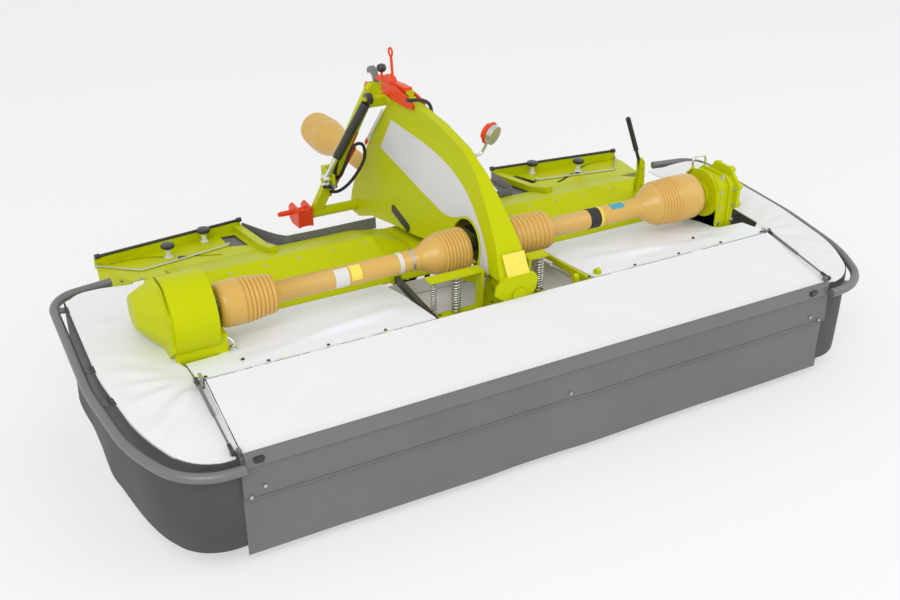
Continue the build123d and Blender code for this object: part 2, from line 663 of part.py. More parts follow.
strut_eye_radius = 16
strut_pin_radius = 6
strut_eye_play = 3.2
strut_tube = join([
    rod((strut_x - 7, strut_top[1], strut_top[2]), (strut_x + 7, strut_top[1], strut_top[2]),
        strut_eye_radius - 3),
    rod(strut_point(8), strut_point(tube_length), 10),
])
strut_tube = strut_tube - rod((strut_x - 10, strut_top[1], strut_top[2]),
                              (strut_x + 10, strut_top[1], strut_top[2]),
                              strut_pin_radius + 0.5)
strut_tube = strut_tube - rod(strut_point(30), strut_point(tube_length + 5), 5.2)
strut_rod = join([
    rod(strut_point(strut_length * 0.34), strut_point(strut_length - 12), 5),
    rod((strut_x - 7, strut_low[1], strut_low[2]), (strut_x + 7, strut_low[1], strut_low[2]),
        strut_eye_radius),
])
strut_rod = strut_rod - rod((strut_x - 10, strut_low[1], strut_low[2]),
                            (strut_x + 10, strut_low[1], strut_low[2]),
                            strut_pin_radius + strut_eye_play)
save("strut_tube_right", strut_tube)
save("strut_tube_left", mirrored(strut_tube))
save("strut_rod_right", strut_rod)
save("strut_rod_left", mirrored(strut_rod))

# posts for the struts on the side rails, and pins on the beam's ends
post_front_y = strut_top[1] - 16
post_rear_y = strut_top[1] + 20
base_front_y = front_beam_y + step_rear + seat_gap
post_base = block(frame_half_width, strut_x - 14, base_front_y, base_front_y + 40, rail_top_z - 46,
                  rail_top_z - 6)
post_up = block(strut_x - 26, strut_x - 14, post_front_y, post_rear_y, rail_top_z - 46, strut_top[2] + 16)
post_pin = rod((strut_x - 14, strut_top[1], strut_top[2]), (strut_x + 12, strut_top[1], strut_top[2]),
               strut_pin_radius)
strut_post = join([post_base, post_up, post_pin])
save("strut_posts", strut_post, mirrored(strut_post))
lug_foot = block(cover_half_width - 1, strut_x - 14, 4, 26, 464, 484)
lug = lug_foot + block(cover_half_width + 4, strut_x - 14, 4, 26, 464, 508)
lug_pin = rod((strut_x - 14, strut_low[1], strut_low[2]), (strut_x + 12, strut_low[1], strut_low[2]),
              strut_pin_radius)
beam_lug = lug + lug_pin
cover_pieces.extend([beam_lug, mirrored(beam_lug)])
save("cover_frame", join(cover_pieces))

# bumper hoops, side skirts and side tarps
tilt = degrees(atan2(hoop_slope, 1))


def tilted_path(points, bends, z_front):
    line = FilletPolyline(*points, radius=bends)
    return Pos(0, 0, z_front) * Rot(tilt, 0, 0) * line


hoop_path = tilted_path(hoop_line, hoop_bends, hoop_front_z)
hoop_start = Plane(origin=hoop_path @ 0, z_dir=hoop_path % 0)
hoop = sweep(hoop_start * Circle(hoop_radius), path=hoop_path)
skirt_path = FilletPolyline(*skirt_line, radius=skirt_bends)
skirt_height = 620
skirt_start = Plane(origin=skirt_path @ 0, x_dir=(0, 0, 1), z_dir=skirt_path % 0)
skirt_wall = sweep(skirt_start * Rectangle(skirt_height, skirt_thickness), path=skirt_path)
skirt_wall = Pos(0, 0, skirt_bottom_z + skirt_height / 2) * skirt_wall
skirt_front_top = hoop_front_z + skirt_top_rise
skirt_rear_y = skirt_line[-1][1]
skirt_limit = prism_yz([(-60, 0), (skirt_rear_y + 60, 0),
                        (skirt_rear_y + 60, skirt_front_top + hoop_slope * (skirt_rear_y + 60)),
                        (-60, skirt_front_top - hoop_slope * 60)], frame_half_width, frame_half_width + 600)
skirt = skirt_wall & skirt_limit
arm_gap = 0.8
arm_width = 44
arm_thickness = 8
hoop_side_x = hoop_line[3][0]
arm_lines = []
for y in (560, 800, 1290):
    arm_lines.append(((frame_half_width + arm_gap, y, rail_top_z - 24),
                      (hoop_side_x - 6, y, hoop_front_z + hoop_slope * y)))
corner_arm = ((frame_half_width - 16, front_beam_y - 26, hoop_front_z - 4),
              (cover_half_width + 164, -20, hoop_front_z - 4))
front_step = block(frame_half_width - 60, frame_half_width, front_beam_y - 34, front_beam_y - arm_gap,
                   hoop_front_z - 26,
                   hoop_front_z + 20)
hoop_set = join([hoop,
                 front_step] + [bar(*line, arm_width, arm_thickness) for line in arm_lines + [corner_arm]])
arm_space = join([bar(*line, arm_width + 1, arm_thickness + 1) for line in arm_lines + [corner_arm]])
skirt = skirt - arm_space - hoop
save("hoop_right", hoop_set)
save("hoop_left", mirrored(hoop_set))
save("side_skirt_right", skirt)
save("side_skirt_left", mirrored(skirt))

# side tarps: sheets between the skirt's upper edge and the deck
tarp_front_z = skirt_front_top + 1
side_tarp_line = [(2, tarp_front_z), (hinge_y, hinge_z - 28), (760, 556),
                  (skirt_rear_y + 30, skirt_front_top + 98)]
side_tarp_slab = prism_yz(sheet_outline(side_tarp_line, tarp_thickness), frame_half_width,
                          frame_half_width + 600)
tarp_inner_x = cover_half_width + 26
tarp_rear_x = drum_outer_x + 40
tarp_plan = [(skirt_line[-1][0], skirt_rear_y), (tarp_rear_x + 80, 1392), (tarp_rear_x, 1392),
             (tarp_rear_x, 560),
             (tarp_inner_x, 516), (tarp_inner_x, 3), (skirt_line[0][0], 3), skirt_line[0]]
tarp_face = make_face(skirt_path.edges() + Polyline(*tarp_plan).edges())
skirt_space = Pos(0, 0, 500) * sweep(skirt_start * Rectangle(900, skirt_thickness + 2 * seat_gap),
                                     path=skirt_path)
side_tarp = (side_tarp_slab & extrude(tarp_face, amount=900)) - skirt_space
save("side_tarp_right", side_tarp)
save("side_tarp_left", mirrored(side_tarp))

# deck tarps between the cover's hinge and the hood, and the panel low under the boom
deck_line = [(hinge_y + 24, hinge_z - 8), (shaft_y, 532), (hood_base_y - seat_gap, hood_base_z)]
deck_outline = sheet_outline(deck_line, tarp_thickness)
well_half_width = 400
deck_tarp = prism_yz(deck_outline, well_half_width, end_plate_x - 26)
save("deck_tarps", deck_tarp, mirrored(deck_tarp))
well_floor = block(-well_half_width, well_half_width, front_beam_y + front_beam_depth, 898,
                   rail_top_z - 76, rail_top_z - 70)
save("well_floor", well_floor)

# pivot for the boom: a pin along y between two ears on the deck's front beam
ear_half = 60
front_ear_y = pivot_y - 20
rear_ear_y = pivot_y + 126
spring_bracket_x = 125
spring_front_y = pivot_y + 64
spring_rear_y = pivot_y + 120
spring_seat_z = 494
spring_cap_z = 672
ear_shape = [(-ear_half - 26, rail_top_z - 30), (ear_half + 26, rail_top_z - 30), (ear_half, pivot_z + 10),
             (ear_half - 26, pivot_z + 40), (-ear_half + 26, pivot_z + 40), (-ear_half, pivot_z + 10)]
pivot_base = block(-spring_bracket_x, spring_bracket_x, front_beam_y + front_beam_depth, rear_ear_y + 12,
                   rail_top_z - 70, rail_top_z - 30)
pivot_pieces = [
    pivot_base,
    prism_xz(ear_shape, front_ear_y, front_ear_y + 12),
    prism_xz(ear_shape, rear_ear_y, rear_ear_y + 12),
    rod((0, front_ear_y - 27, pivot_z), (0, rear_ear_y + 18, pivot_z), pivot_pin_radius),
    rod((0, front_ear_y - 27, pivot_z), (0, front_ear_y - 22, pivot_z), 34),
]
for side, reach in [(-1, 372), (1, 216)]:
    near = side * (spring_bracket_x - 12)
    far = side * spring_bracket_x
    end = side * reach
    pivot_pieces.extend([
        block(min(near, far), max(near, far), spring_front_y, spring_rear_y, rail_top_z - 70,
              spring_cap_z + 10),
        block(min(near, end), max(near, end), spring_front_y, spring_rear_y, spring_cap_z, spring_cap_z + 10),
        block(min(near, end), max(near, end), spring_front_y, spring_rear_y, spring_seat_z - 10,
              spring_seat_z),
    ])
save("boom_pivot", join(pivot_pieces))

# boom: two leaning side plates under a bent front cover, open below
boom_front = [(440, boom_foot_z + 12), (470, 690), (525, 787), (590, 862), (650, 925), (746, 1015),
              (880, 1090),
              (1094, 1138), (1342, 1164), (1470, 1176)]
boom_rear = [(1540, 1150), (1620, 1108), (1700, 1020), (1790, 880), (1870, 740), (1940, 600), (1962, 520),
             (1962, 424),
             (1846, 424)]
boom_under = [(1700, 480), (1600, 498), (1500, 516), (1400, 532), (1222, 556), (1110, 580), (1000, 590),
              (900, 560),
              (757, 528), (620, 560), (560, boom_foot_z + 12)]


def wedge(foot_half, top_half, y0, y1):
    # the space between the two leaning side plates
    lean = (foot_half - top_half) / (boom_top_z - boom_foot_z)
    low = 380
    high = 1300
    low_half = foot_half + lean * (boom_foot_z - low)
    points = [(-low_half, low), (low_half, low), (top_half, boom_top_z), (top_half, high), (-top_half, high),
              (-top_half, boom_top_z)]
    return prism_xz(points, y0, y1)


boom_solid = prism_yz(boom_front + boom_rear + boom_under, -140, 140) & wedge(
    boom_foot_half_width, boom_top_half_width, 300, 2100)
inner_front = sheet_outline(boom_front, boom_wall)[len(boom_front):][::-1]
inner_profile = inner_front + [(1526, 1142), (2000, 1142), (2000, 330), (600, 330), (570, 640)]
boom_inner = prism_yz(inner_profile, -140, 140) & wedge(
    boom_foot_half_width - boom_wall, boom_top_half_width - boom_wall, 300, 2100)
opening = rod((-200, opening_y, opening_z), (200, opening_y, opening_z), opening_radius)
web_points = [(1600, 740), (1608, 740), (1608, 1060), (1600, 1060)]
boom_web = prism_yz(web_points, -140, 140) & wedge(boom_foot_half_width - 2, boom_top_half_width - 2, 300,
                                                   2100)
boom = (boom_solid - boom_inner - opening) + boom_web
foot_outline = [(-84, 664), (-112, 640), (-118, 600), (-60, 556), (0, 540), (44, 546), (84, 590),
                (96, 640), (84, 664)]
foot_front_y = front_ear_y - 20
foot_rear_y = front_ear_y - 10
foot_plate = prism_xz(foot_outline, foot_front_y, foot_rear_y)
foot_plate = foot_plate + block(-84, 84, foot_rear_y - 1, 450, boom_foot_z + 2, 664)
boom = boom + (foot_plate - rod((0, 300, pivot_z), (0, 700, pivot_z), pivot_pin_radius + pivot_play))
sleeve = rod((0, pivot_y - 2, pivot_z), (0, pivot_y + 118, pivot_z), pivot_sleeve_radius,
             pivot_pin_radius + pivot_play)
sleeve_web = block(-30, 30, pivot_y + 2, pivot_y + 100, pivot_z + 34, boom_foot_z + 60)
boom = boom + sleeve + (sleeve_web - rod((0, 300, pivot_z), (0, 700, pivot_z), pivot_pin_radius + pivot_play))
hinge_bore = rod((-200, headstock_y, headstock_z), (200, headstock_y, headstock_z), crossbar_radius + 1)
boom = boom - hinge_bore
catch = block(-18, 18, 1424, 1440, 1166, 1204)
barrel_pin = rod((-20, 1584, 1108), (-20, 1650, 1122), 16) + rod((-20, 1650, 1122), (-140, 1650, 1122), 12)
catch_base = block(-18, 18, 1400, 1440, 1160, 1180)
save("boom", join([boom, catch_base, catch, barrel_pin]))

# gearbox in the boom's opening and the input shaft's guard to the tractor side
box_half = 42
gear_centre = block(-box_half, box_half, shaft_y - 62, shaft_y + 96, shaft_z - 66, shaft_z + 58)
gear_seat_z = shaft_z + 58
hanger = prism_yz([(shaft_y - 30, gear_seat_z - 2), (shaft_y + 50, gear_seat_z - 2),
                   (shaft_y + 50, boom_top_z),
                   (shaft_y - 30, boom_top_z)], -12, 12)
hanger_limit = sheet_outline(boom_front, boom_wall + seat_gap)[len(boom_front):][::-1]
hanger = hanger & prism_yz(hanger_limit + [(1545, 330), (600, 330)], -140, 140)
guard_front = shaft_y + 136
shaft_front = guard_front - 34
gear_stub = rod((0, shaft_y + 90, input_z), (0, guard_front - seat_gap, input_z), 40)
gear_stub = gear_stub - rod((0, shaft_front - 2, input_z), (0, guard_front + 5, input_z), 18 + seat_gap)
cross_stub = rod((-core_start + 16, shaft_y, shaft_z), (core_start - 16, shaft_y, shaft_z), shaft_core_radius)
save("centre_gearbox", join([gear_centre, hanger, gear_stub, cross_stub]))

input_points = [(guard_front, 40), (guard_front, input_guard_radius),
                (input_cone_front_y, input_guard_radius),
                (input_cone_front_y + 30, 60), (input_cone_front_y + 110, 100),
                (input_cone_front_y + 180, 106)]
input_points = input_points + ribs(input_cone_front_y + 190, input_cone_front_y + 330, 104, 96, 6, 6)
input_points = input_points + [(input_cone_front_y + 350, 88), (input_cone_front_y + 350, 60)]
guard_solid = revolve_y(input_points, 0, input_z)
bore_line = [(guard_front - 5, 24), (input_cone_front_y + 60, 24), (input_cone_front_y + 110, 66),
             (input_cone_front_y + 356, 66)]
save("input_guard", guard_solid - revolve_y(bore_line, 0, input_z))
shaft_line = [(shaft_front, 18), (input_cone_front_y + 120, 18), (input_cone_front_y + 150, 34),
              (input_rear_y - 80, 34), (input_rear_y - 70, 28), (input_rear_y, 28)]
input_shaft = revolve_y(shaft_line, 0, input_z)
save("input_shaft", input_shaft - rod((0, input_rear_y - 76, input_z), (0, input_rear_y + 5, input_z),
                                      yoke_bore_radius))

# headstock: crossbar, two legs to the apex, cheeks for the hitch pins
crossbar = rod((-crossbar_half_width, headstock_y, headstock_z),
               (crossbar_half_width, headstock_y, headstock_z),
               crossbar_radius)
headstock_pieces = [crossbar]
leg_low = (crossbar_half_width - 32, headstock_y + 2, headstock_z)
leg_top = (46, apex_y, apex_z)
for side in (-1, 1):
    low = (side * leg_low[0], leg_low[1], leg_low[2])
    top = (side * leg_top[0], leg_top[1], leg_top[2])
    headstock_pieces.append(bar(low, top, 50, 44, (0, 1, 0)))
head_half = 28
head_plate = prism_xz([(-78, 1030), (78, 1030), (60, 1128), (36, 1150), (-36, 1150), (-60, 1128)],
                      apex_y - 22, apex_y + head_half)
headstock_pieces.append(head_plate)
cylinder_low = (ram_pin_inset - crossbar_half_width, 1748, 705)
cylinder_pin_radius = 12
lug_plate_x = cylinder_low[0] + 36
headstock_pieces.append(rod((cylinder_low[0] - 18, cylinder_low[1], cylinder_low[2]),
                            (lug_plate_x, cylinder_low[1], cylinder_low[2]), cylinder_pin_radius))
headstock_pieces.append(block(lug_plate_x - 2, lug_plate_x + 10, cylinder_low[1] - 24, 1880,
                              cylinder_low[2] - 26, cylinder_low[2] + 26))
headstock_pieces.append(block(lug_plate_x, lug_plate_x + 60, 1852, 1880, cylinder_low[2] - 26,
                              cylinder_low[2] + 26))
save("headstock_frame", join(headstock_pieces))

hitch_outline = [(headstock_y - 46, 420), (hitch_pin_y - 6, 412), (hitch_pin_y + 34, 436),
                 (hitch_pin_y + 34, 496),
                 (hitch_pin_y, 524), (headstock_y - 46, 520)]
cheek_thickness = 12
hitch_pieces = []
for x in (crossbar_half_width, crossbar_half_width + cheek_thickness + hitch_gap):
    hitch_pieces.append(prism_yz(hitch_outline, x, x + cheek_thickness))
hitch_bridge = block(crossbar_half_width, crossbar_half_width + 2 * cheek_thickness + hitch_gap,
                     headstock_y - 46, headstock_y - 34, 424, 516)
hitch_outer_x = crossbar_half_width + 2 * cheek_thickness + hitch_gap
hitch_pin_end = hitch_outer_x + hitch_pin_reach
shoulder = rod((crossbar_half_width, hitch_pin_y, headstock_z), (hitch_outer_x - 1, hitch_pin_y, headstock_z),
               hitch_pin_radius + 3)
hitch_pin = rod((hitch_outer_x - 1, hitch_pin_y, headstock_z), (hitch_pin_end, hitch_pin_y, headstock_z),
                hitch_pin_radius)
nose = rod((hitch_pin_end - 1, hitch_pin_y, headstock_z), (hitch_pin_end + 14, hitch_pin_y, headstock_z),
           hitch_pin_radius - 3)
linch_x = hitch_pin_end + 7
linch_hole = rod((linch_x, hitch_pin_y, headstock_z - 30), (linch_x, hitch_pin_y, headstock_z + 30), 3.5)
hitch = join(hitch_pieces + [hitch_bridge, shoulder, hitch_pin, nose]) - linch_hole
save("hitch_right", hitch)
save("hitch_left", mirrored(hitch))

top_outline = [(apex_y + head_half, apex_z - 32), (apex_y + 66, apex_z - 26), (apex_y + 82, apex_z + 6),
               (apex_y + 66, apex_z + 34), (apex_y + head_half, apex_z + 40)]
top_pieces = []
for side in (-1, 1):
    inner = side * top_gap / 2
    outer = side * (top_gap / 2 + cheek_thickness)
    top_pieces.append(prism_yz(top_outline, min(inner, outer), max(inner, outer)))
top_bore = rod((-100, apex_y + 56, apex_z + 4), (100, apex_y + 56, apex_z + 4), top_bore_radius)
top_back = block(-top_gap / 2 - cheek_thickness, top_gap / 2 + cheek_thickness, apex_y + head_half,
                 apex_y + head_half + 8, apex_z - 30, apex_z + 36)
save("top_hitch", join(top_pieces + [top_back]) - top_bore)

# catch hook on the headstock's apex
hook_low = 1150 + seat_gap
hook_outline = [(1798, hook_low), (1828, hook_low), (1840, 1172), (1866, 1186), (1890, 1174),
                (1902, 1186), (1888, 1206),
                (1856, 1220), (1822, 1208), (1804, 1180)]
save("top_hook", prism_yz(hook_outline, -11, 11))

# latch that locks the headstock's apex to the boom, with its pull lever
latch_end_y = apex_y - 18
latch_bar = bar((0, 1443, 1206), (0, latch_end_y, 1181), 34, 22)
latch_cam = prism_yz([(1590, 1186), (1690, 1180), (1700, 1206), (1668, 1226), (1612, 1222)], -15, 15)
lever_rod = rod((0, 1616, 1200), (0, 1632, 1322), 7)
lever_ring = Pos(0, 1637, 1342) * Rot(0, 90, 0) * Torus(19, 5)
knob_stem = rod((0, 1740, 1180), (0, 1744, 1226), 6)
knob_head = Pos(0, 1745, 1236) * Sphere(16)
latch_foot = block(-15, 15, 1446, 1506, 1120, 1204) - Pos(0, 0, seat_gap) * boom_solid
save("latch", join([latch_bar, latch_foot, latch_cam, lever_rod, lever_ring, knob_stem, knob_head]))

# tilt cylinder along the headstock's left leg
cylinder_top = (-120, 1650, 1122)
cylinder_axis = (vector(cylinder_low) - vector(cylinder_top)).normalized()
cylinder_length = (vector(cylinder_low) - vector(cylinder_top)).length


def cylinder_point(distance):
    return tuple(vector(cylinder_top) + cylinder_axis * distance)


barrel = join([
    rod(cylinder_point(26), cylinder_point(cylinder_length * 0.72), 24),
    rod((cylinder_top[0] - 14, cylinder_top[1], cylinder_top[2]),
        (cylinder_top[0] + 14, cylinder_top[1], cylinder_top[2]), 30),
])
barrel = barrel - rod((cylinder_top[0] - 20, cylinder_top[1], cylinder_top[2]),
                      (cylinder_top[0] + 20, cylinder_top[1], cylinder_top[2]), 13)
barrel = barrel - rod(cylinder_point(cylinder_length * 0.3), cylinder_point(cylinder_length * 0.75), 13)
ram = join([
    rod(cylinder_point(cylinder_length * 0.4), cylinder_point(cylinder_length - 20), 12),
    rod((cylinder_low[0] - 14, cylinder_low[1], cylinder_low[2]),
        (cylinder_low[0] + 14, cylinder_low[1], cylinder_low[2]), 26),
])
ram_eye_radius = cylinder_pin_radius + 2
ram = ram - rod((cylinder_low[0] - 20, cylinder_low[1], cylinder_low[2]),
                (cylinder_low[0] + 20, cylinder_low[1], cylinder_low[2]), ram_eye_radius)
save("tilt_barrel", barrel)
save("tilt_ram", ram)

# support springs between the arms of the pivot's brackets, with stays back to the hood
spring_low = spring_seat_z + seat_gap
spring_high = spring_cap_z - seat_gap


def spring(x, y, radius, turns):
    pitch = (spring_high - spring_low) / turns
    core = radius - 6
    points = [(0, spring_low)]
    for i in range(turns):
        points.append((core, spring_low + pitch * i))
        points.append((radius, spring_low + pitch * (i + 0.5)))
    points.append((core, spring_high))
    points.append((0, spring_high))
    face = make_face(Polyline(*points, close=True))
    return Pos(x, y, 0) * revolve(Plane.XZ * face, Axis.Z, 360)


spring_y = (spring_front_y + spring_rear_y) / 2
suspension = []
for x, radius, turns in [(-345, 14, 15), (-235, 21, 11), (185, 21, 11)]:
    suspension.append(spring(x, spring_y, radius, turns))
stay_front = (372, front_beam_y + front_beam_depth + 34, 522)
stay_rear = (336, hood_base_y - 22, 512)
for side in (-1, 1):
    front = (side * stay_front[0], stay_front[1], stay_front[2])
    rear = (side * stay_rear[0], stay_rear[1], stay_rear[2])
    foot_y = front_beam_y + front_beam_depth + seat_gap
    stay = join([
        rod(front, rear, 14),
        block(front[0] - 20, front[0] + 20, foot_y, foot_y + 48, 486, 540),
        block(rear[0] - 20, rear[0] + 20, rear[1] - 14, hood_base_y - seat_gap, 486, 530),
    ])
    suspension.append(stay)
tube_y = pivot_y + 24
tube_start = spring_bracket_x + seat_gap
for side, reach in [(-1, 212), (1, 180)]:
    suspension.append(rod((side * tube_start, tube_y, rail_top_z - 12),
                          (side * reach, tube_y, rail_top_z - 12), 18))
save("support_springs", *suspension)

# gauge on a bent arm from the boom
gauge_foot_x = boom_top_half_width + 2 + seat_gap
gauge_arm = join([
    rod((gauge_foot_x, 1080, 1062), (gauge_foot_x + 12, 1080, 1062), 16),
    rod((gauge_foot_x + 8, 1080, 1060), (150, 1080, 1020), 7),
    rod((150, 1080, 1020), (190, 1030, 1100), 7),
    rod((190, 1042, 1100), (190, 998, 1100), 34),
])
save("gauge", gauge_arm)

# hand lever on the right of the hood
lever_x = frame_half_width - 184
lever_y = 1080
lever_base = block(lever_x - 6, lever_x + 34, lever_y - 20, lever_y + 30, 545, 640)
hand_lever = join([
    prism_xz([(lever_x - 4, 600), (lever_x + 32, 600), (lever_x + 12, 760), (lever_x - 12, 760)],
             lever_y - 6, lever_y + 6),
    rod((lever_x, lever_y, 740), (lever_x - 96, lever_y, 1010), 11),
])
hood_top = [(y, z + seat_gap) for y, z in hood_line]
hood_space = prism_yz([(hood_base_y, 300)] + hood_top + [(hood_rear_y, 300)], lever_x - 116,
                      frame_half_width)
save("hand_lever", join([lever_base, hand_lever]) - hood_space)

# parking stands: a leg in a sleeve behind each end plate
stand_x = frame_half_width + 36
stand_y = 1395
stand_leg = 36
sleeve_wall = 6
sleeve_gap = 0.3
sleeve_low = 330
sleeve_high = 480
sleeve_inner = stand_leg / 2 + sleeve_gap
sleeve_outer = sleeve_inner + sleeve_wall
sleeve_box = block(stand_x - sleeve_outer, stand_x + sleeve_outer, stand_y - sleeve_outer,
                   stand_y + sleeve_outer,
                   sleeve_low, sleeve_high)
sleeve_cut = block(stand_x - sleeve_inner, stand_x + sleeve_inner, stand_y - sleeve_inner,
                   stand_y + sleeve_inner,
                   sleeve_low - 5, sleeve_high + 5)
sleeve_tab = block(frame_half_width, stand_x - sleeve_inner - 2, stand_y - 34, stand_y + 34,
                   rail_bottom_z + 4, sleeve_high)
stand_sleeve = (sleeve_box + sleeve_tab) - sleeve_cut
save("stand_sleeves", stand_sleeve, mirrored(stand_sleeve))
leg_solid = block(stand_x - stand_leg / 2, stand_x + stand_leg / 2, stand_y - stand_leg / 2,
                  stand_y + stand_leg / 2,
                  8, sleeve_high + 20)
foot_pad = block(stand_x - 60, stand_x + 60, stand_y - 55, stand_y + 55, 0, 9)
stand = leg_solid + foot_pad
save("stand_right", stand)
save("stand_left", mirrored(stand))

print("origin y", origin_y)
print(len(written), "nodes")
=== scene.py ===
import bpy
import bmesh
import math
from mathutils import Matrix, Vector, noise


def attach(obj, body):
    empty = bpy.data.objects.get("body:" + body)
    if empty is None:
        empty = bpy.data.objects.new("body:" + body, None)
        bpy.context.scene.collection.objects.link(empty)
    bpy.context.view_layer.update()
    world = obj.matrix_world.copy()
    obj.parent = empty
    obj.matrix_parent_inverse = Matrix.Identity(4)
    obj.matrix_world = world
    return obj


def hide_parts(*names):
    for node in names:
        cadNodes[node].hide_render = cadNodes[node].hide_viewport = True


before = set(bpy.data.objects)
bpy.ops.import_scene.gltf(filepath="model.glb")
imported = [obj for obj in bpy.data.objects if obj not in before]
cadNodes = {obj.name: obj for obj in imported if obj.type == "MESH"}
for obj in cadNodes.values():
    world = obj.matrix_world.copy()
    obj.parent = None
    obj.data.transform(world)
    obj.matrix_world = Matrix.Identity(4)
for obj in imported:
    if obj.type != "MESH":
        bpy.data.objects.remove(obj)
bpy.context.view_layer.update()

# Disc mower conditioner for a tractor's front linkage. Lengths are in metres. Places are given as the
# machine is drawn, with y = 0 at the front beam, and shiftY moves them to the frame's own origin.
shiftY = -1.3325
scene = bpy.context.scene
bothSides = ((-1, "left"), (1, "right"))


def at(x, y, z):
    return Vector((x, y + shiftY, z))


# camera, as far from the machine and as high as the photograph was taken
cameraSettings = {
    "location": (-2.271, -4.4695, 2.792),
    "azimuth": -28.557,
    "elevation": 27.981,
    "lens": 44.33,
    "clipEnd": 200,
}


def makeCamera(settings):
    data = bpy.data.cameras.new("camera")
    data.lens = settings["lens"]
    data.clip_end = settings["clipEnd"]
    camera = bpy.data.objects.new("camera", data)
    scene.collection.objects.link(camera)
    azimuth = math.radians(settings["azimuth"])
    elevation = math.radians(settings["elevation"])
    back = Vector((math.sin(azimuth) * math.cos(elevation), -math.cos(azimuth) * math.cos(elevation),
                   math.sin(elevation)))
    camera.location = settings["location"]
    camera.rotation_mode = "QUATERNION"
    camera.rotation_quaternion = (-back).to_track_quat("-Z", "Y")
    scene.camera = camera


makeCamera(cameraSettings)


def feed(tree, node, inputs):
    # an input takes either another node's socket or a value
    for key, value in inputs.items():
        if isinstance(value, bpy.types.NodeSocket):
            tree.links.new(value, node.inputs[key])
        else:
            node.inputs[key].default_value = value


def addNode(tree, kind, inputs=None, **options):
    node = tree.nodes.new(kind)
    for key, value in options.items():
        setattr(node, key, value)
    feed(tree, node, inputs or {})
    return node


def addMath(tree, operation, first, second, **options):
    return addNode(tree, "ShaderNodeMath", {0: first, 1: second}, operation=operation, **options).outputs[0]


# studio: pale floor, pale world and two soft lamps, each with its place, size and power
studio = {
    "paleColor": (0.93, 0.93, 0.93, 1),
    "worldStrength": 0.78,
    "floorSize": 60,
    "floorDrop": 0.001,
    "floorLook": {
        "Base Color": (0.42, 0.42, 0.42, 1),
        "Roughness": 0.9,
        "Specular IOR Level": 0.05,
        "Emission Color": (1, 1, 1, 1),
        "Emission Strength": 0.50,
    },
    "lamps": [("key", (-5.5, -7.5, 7.5), 6.0, 470), ("fill", (7.0, -4.0, 5.0), 6.0, 110)],
}


def makeStudio(settings):
    scene.view_settings.view_transform = "Standard"
    world = bpy.data.worlds.new("studio")
    world.use_nodes = True
    scene.world = world
    tree = world.node_tree
    background = tree.nodes["Background"]
    feed(tree, background, {"Color": (1, 1, 1, 1), "Strength": settings["worldStrength"]})
    # the camera and shiny faces see the pale colour, while the world lights with its own strength
    pale = addNode(tree, "ShaderNodeBackground", {"Color": settings["paleColor"]})
    path = addNode(tree, "ShaderNodeLightPath")
    seen = path.outputs["Is Camera Ray"]
    for ray in ("Is Glossy Ray", "Is Transmission Ray"):
        seen = addMath(tree, "MAXIMUM", seen, path.outputs[ray])
    mix = addNode(tree, "ShaderNodeMixShader", {"Fac": seen, 1: background.outputs[0], 2: pale.outputs[0]})
    feed(tree, tree.nodes["World Output"], {"Surface": mix.outputs[0]})
    half = settings["floorSize"] / 2
    mesh = bpy.data.meshes.new("floor")
    mesh.from_pydata([(-half, -half, 0), (half, -half, 0), (half, half, 0), (-half, half, 0)], [],
                     [(0, 1, 2, 3)])
    material = bpy.data.materials.new("paleFloor")
    material.use_nodes = True
    feed(material.node_tree, material.node_tree.nodes["Principled BSDF"], settings["floorLook"])
    mesh.materials.append(material)
    floor = bpy.data.objects.new("floor", mesh)
    scene.collection.objects.link(floor)
    floor.location.z = -settings["floorDrop"]
    for name, location, size, power in settings["lamps"]:
        data = bpy.data.lights.new(name, "AREA")
        data.size = size
        data.energy = power
        lamp = bpy.data.objects.new(name, data)
        scene.collection.objects.link(lamp)
        lamp.location = location
        lamp.rotation_mode = "QUATERNION"
        lamp.rotation_quaternion = (-Vector(location)).to_track_quat("-Z", "Y")


makeStudio(studio)
print("camera and studio ready")


# node groups: three that the materials share here, and further down the one that sets rows of bolts
def startGroup(name, kind, inputs, outputs):
    group = bpy.data.node_groups.new(name, kind)
    for label, socketKind, value in inputs:
        socket = group.interface.new_socket(label, in_out="INPUT", socket_type=socketKind)
        if value is not None:
            socket.default_value = value
    for label, socketKind in outputs:
        group.interface.new_socket(label, in_out="OUTPUT", socket_type=socketKind)
    return group, group.nodes.new("NodeGroupInput").outputs


def makeDustGroup():
    # pale dust in soft patches, more of it low on the machine than high up
    group, source = startGroup("dustFilm", "ShaderNodeTree", [
        ("Color", "NodeSocketColor", (0.5, 0.5, 0.5, 1)),
        ("Dust Color", "NodeSocketColor", (0.35, 0.31, 0.24, 1)),
        ("Amount", "NodeSocketFloat", 0.2),
        ("Scale", "NodeSocketFloat", 3.0),
        ("Top", "NodeSocketFloat", 0.6),
    ], [("Color", "NodeSocketColor"), ("Mask", "NodeSocketFloat")])
    place = addNode(group, "ShaderNodeTexCoord").outputs["Object"]
    patches = addNode(group, "ShaderNodeTexNoise",
                      {"Vector": place, "Scale": source["Scale"], "Detail": 5, "Roughness": 0.62})
    level = addNode(group, "ShaderNodeSeparateXYZ", {0: place}).outputs["Z"]
    height = addNode(group, "ShaderNodeMapRange",
                     {"Value": level, "From Min": 0, "From Max": source["Top"], "To Min": 1, "To Max": 0.35})
    soft = addNode(group, "ShaderNodeMapRange",
                   {"Value": patches.outputs["Fac"], "From Min": 0.42, "From Max": 0.78})
    product = addMath(group, "MULTIPLY", soft.outputs[0], height.outputs[0])
    amount = addMath(group, "MULTIPLY", product, source["Amount"], use_clamp=True)
    mix = addNode(group, "ShaderNodeMix", {"Factor": amount, "A": source["Color"], "B": source["Dust Color"]},
                  data_type="RGBA")
    addNode(group, "NodeGroupOutput", {"Color": mix.outputs["Result"], "Mask": amount})
    return group


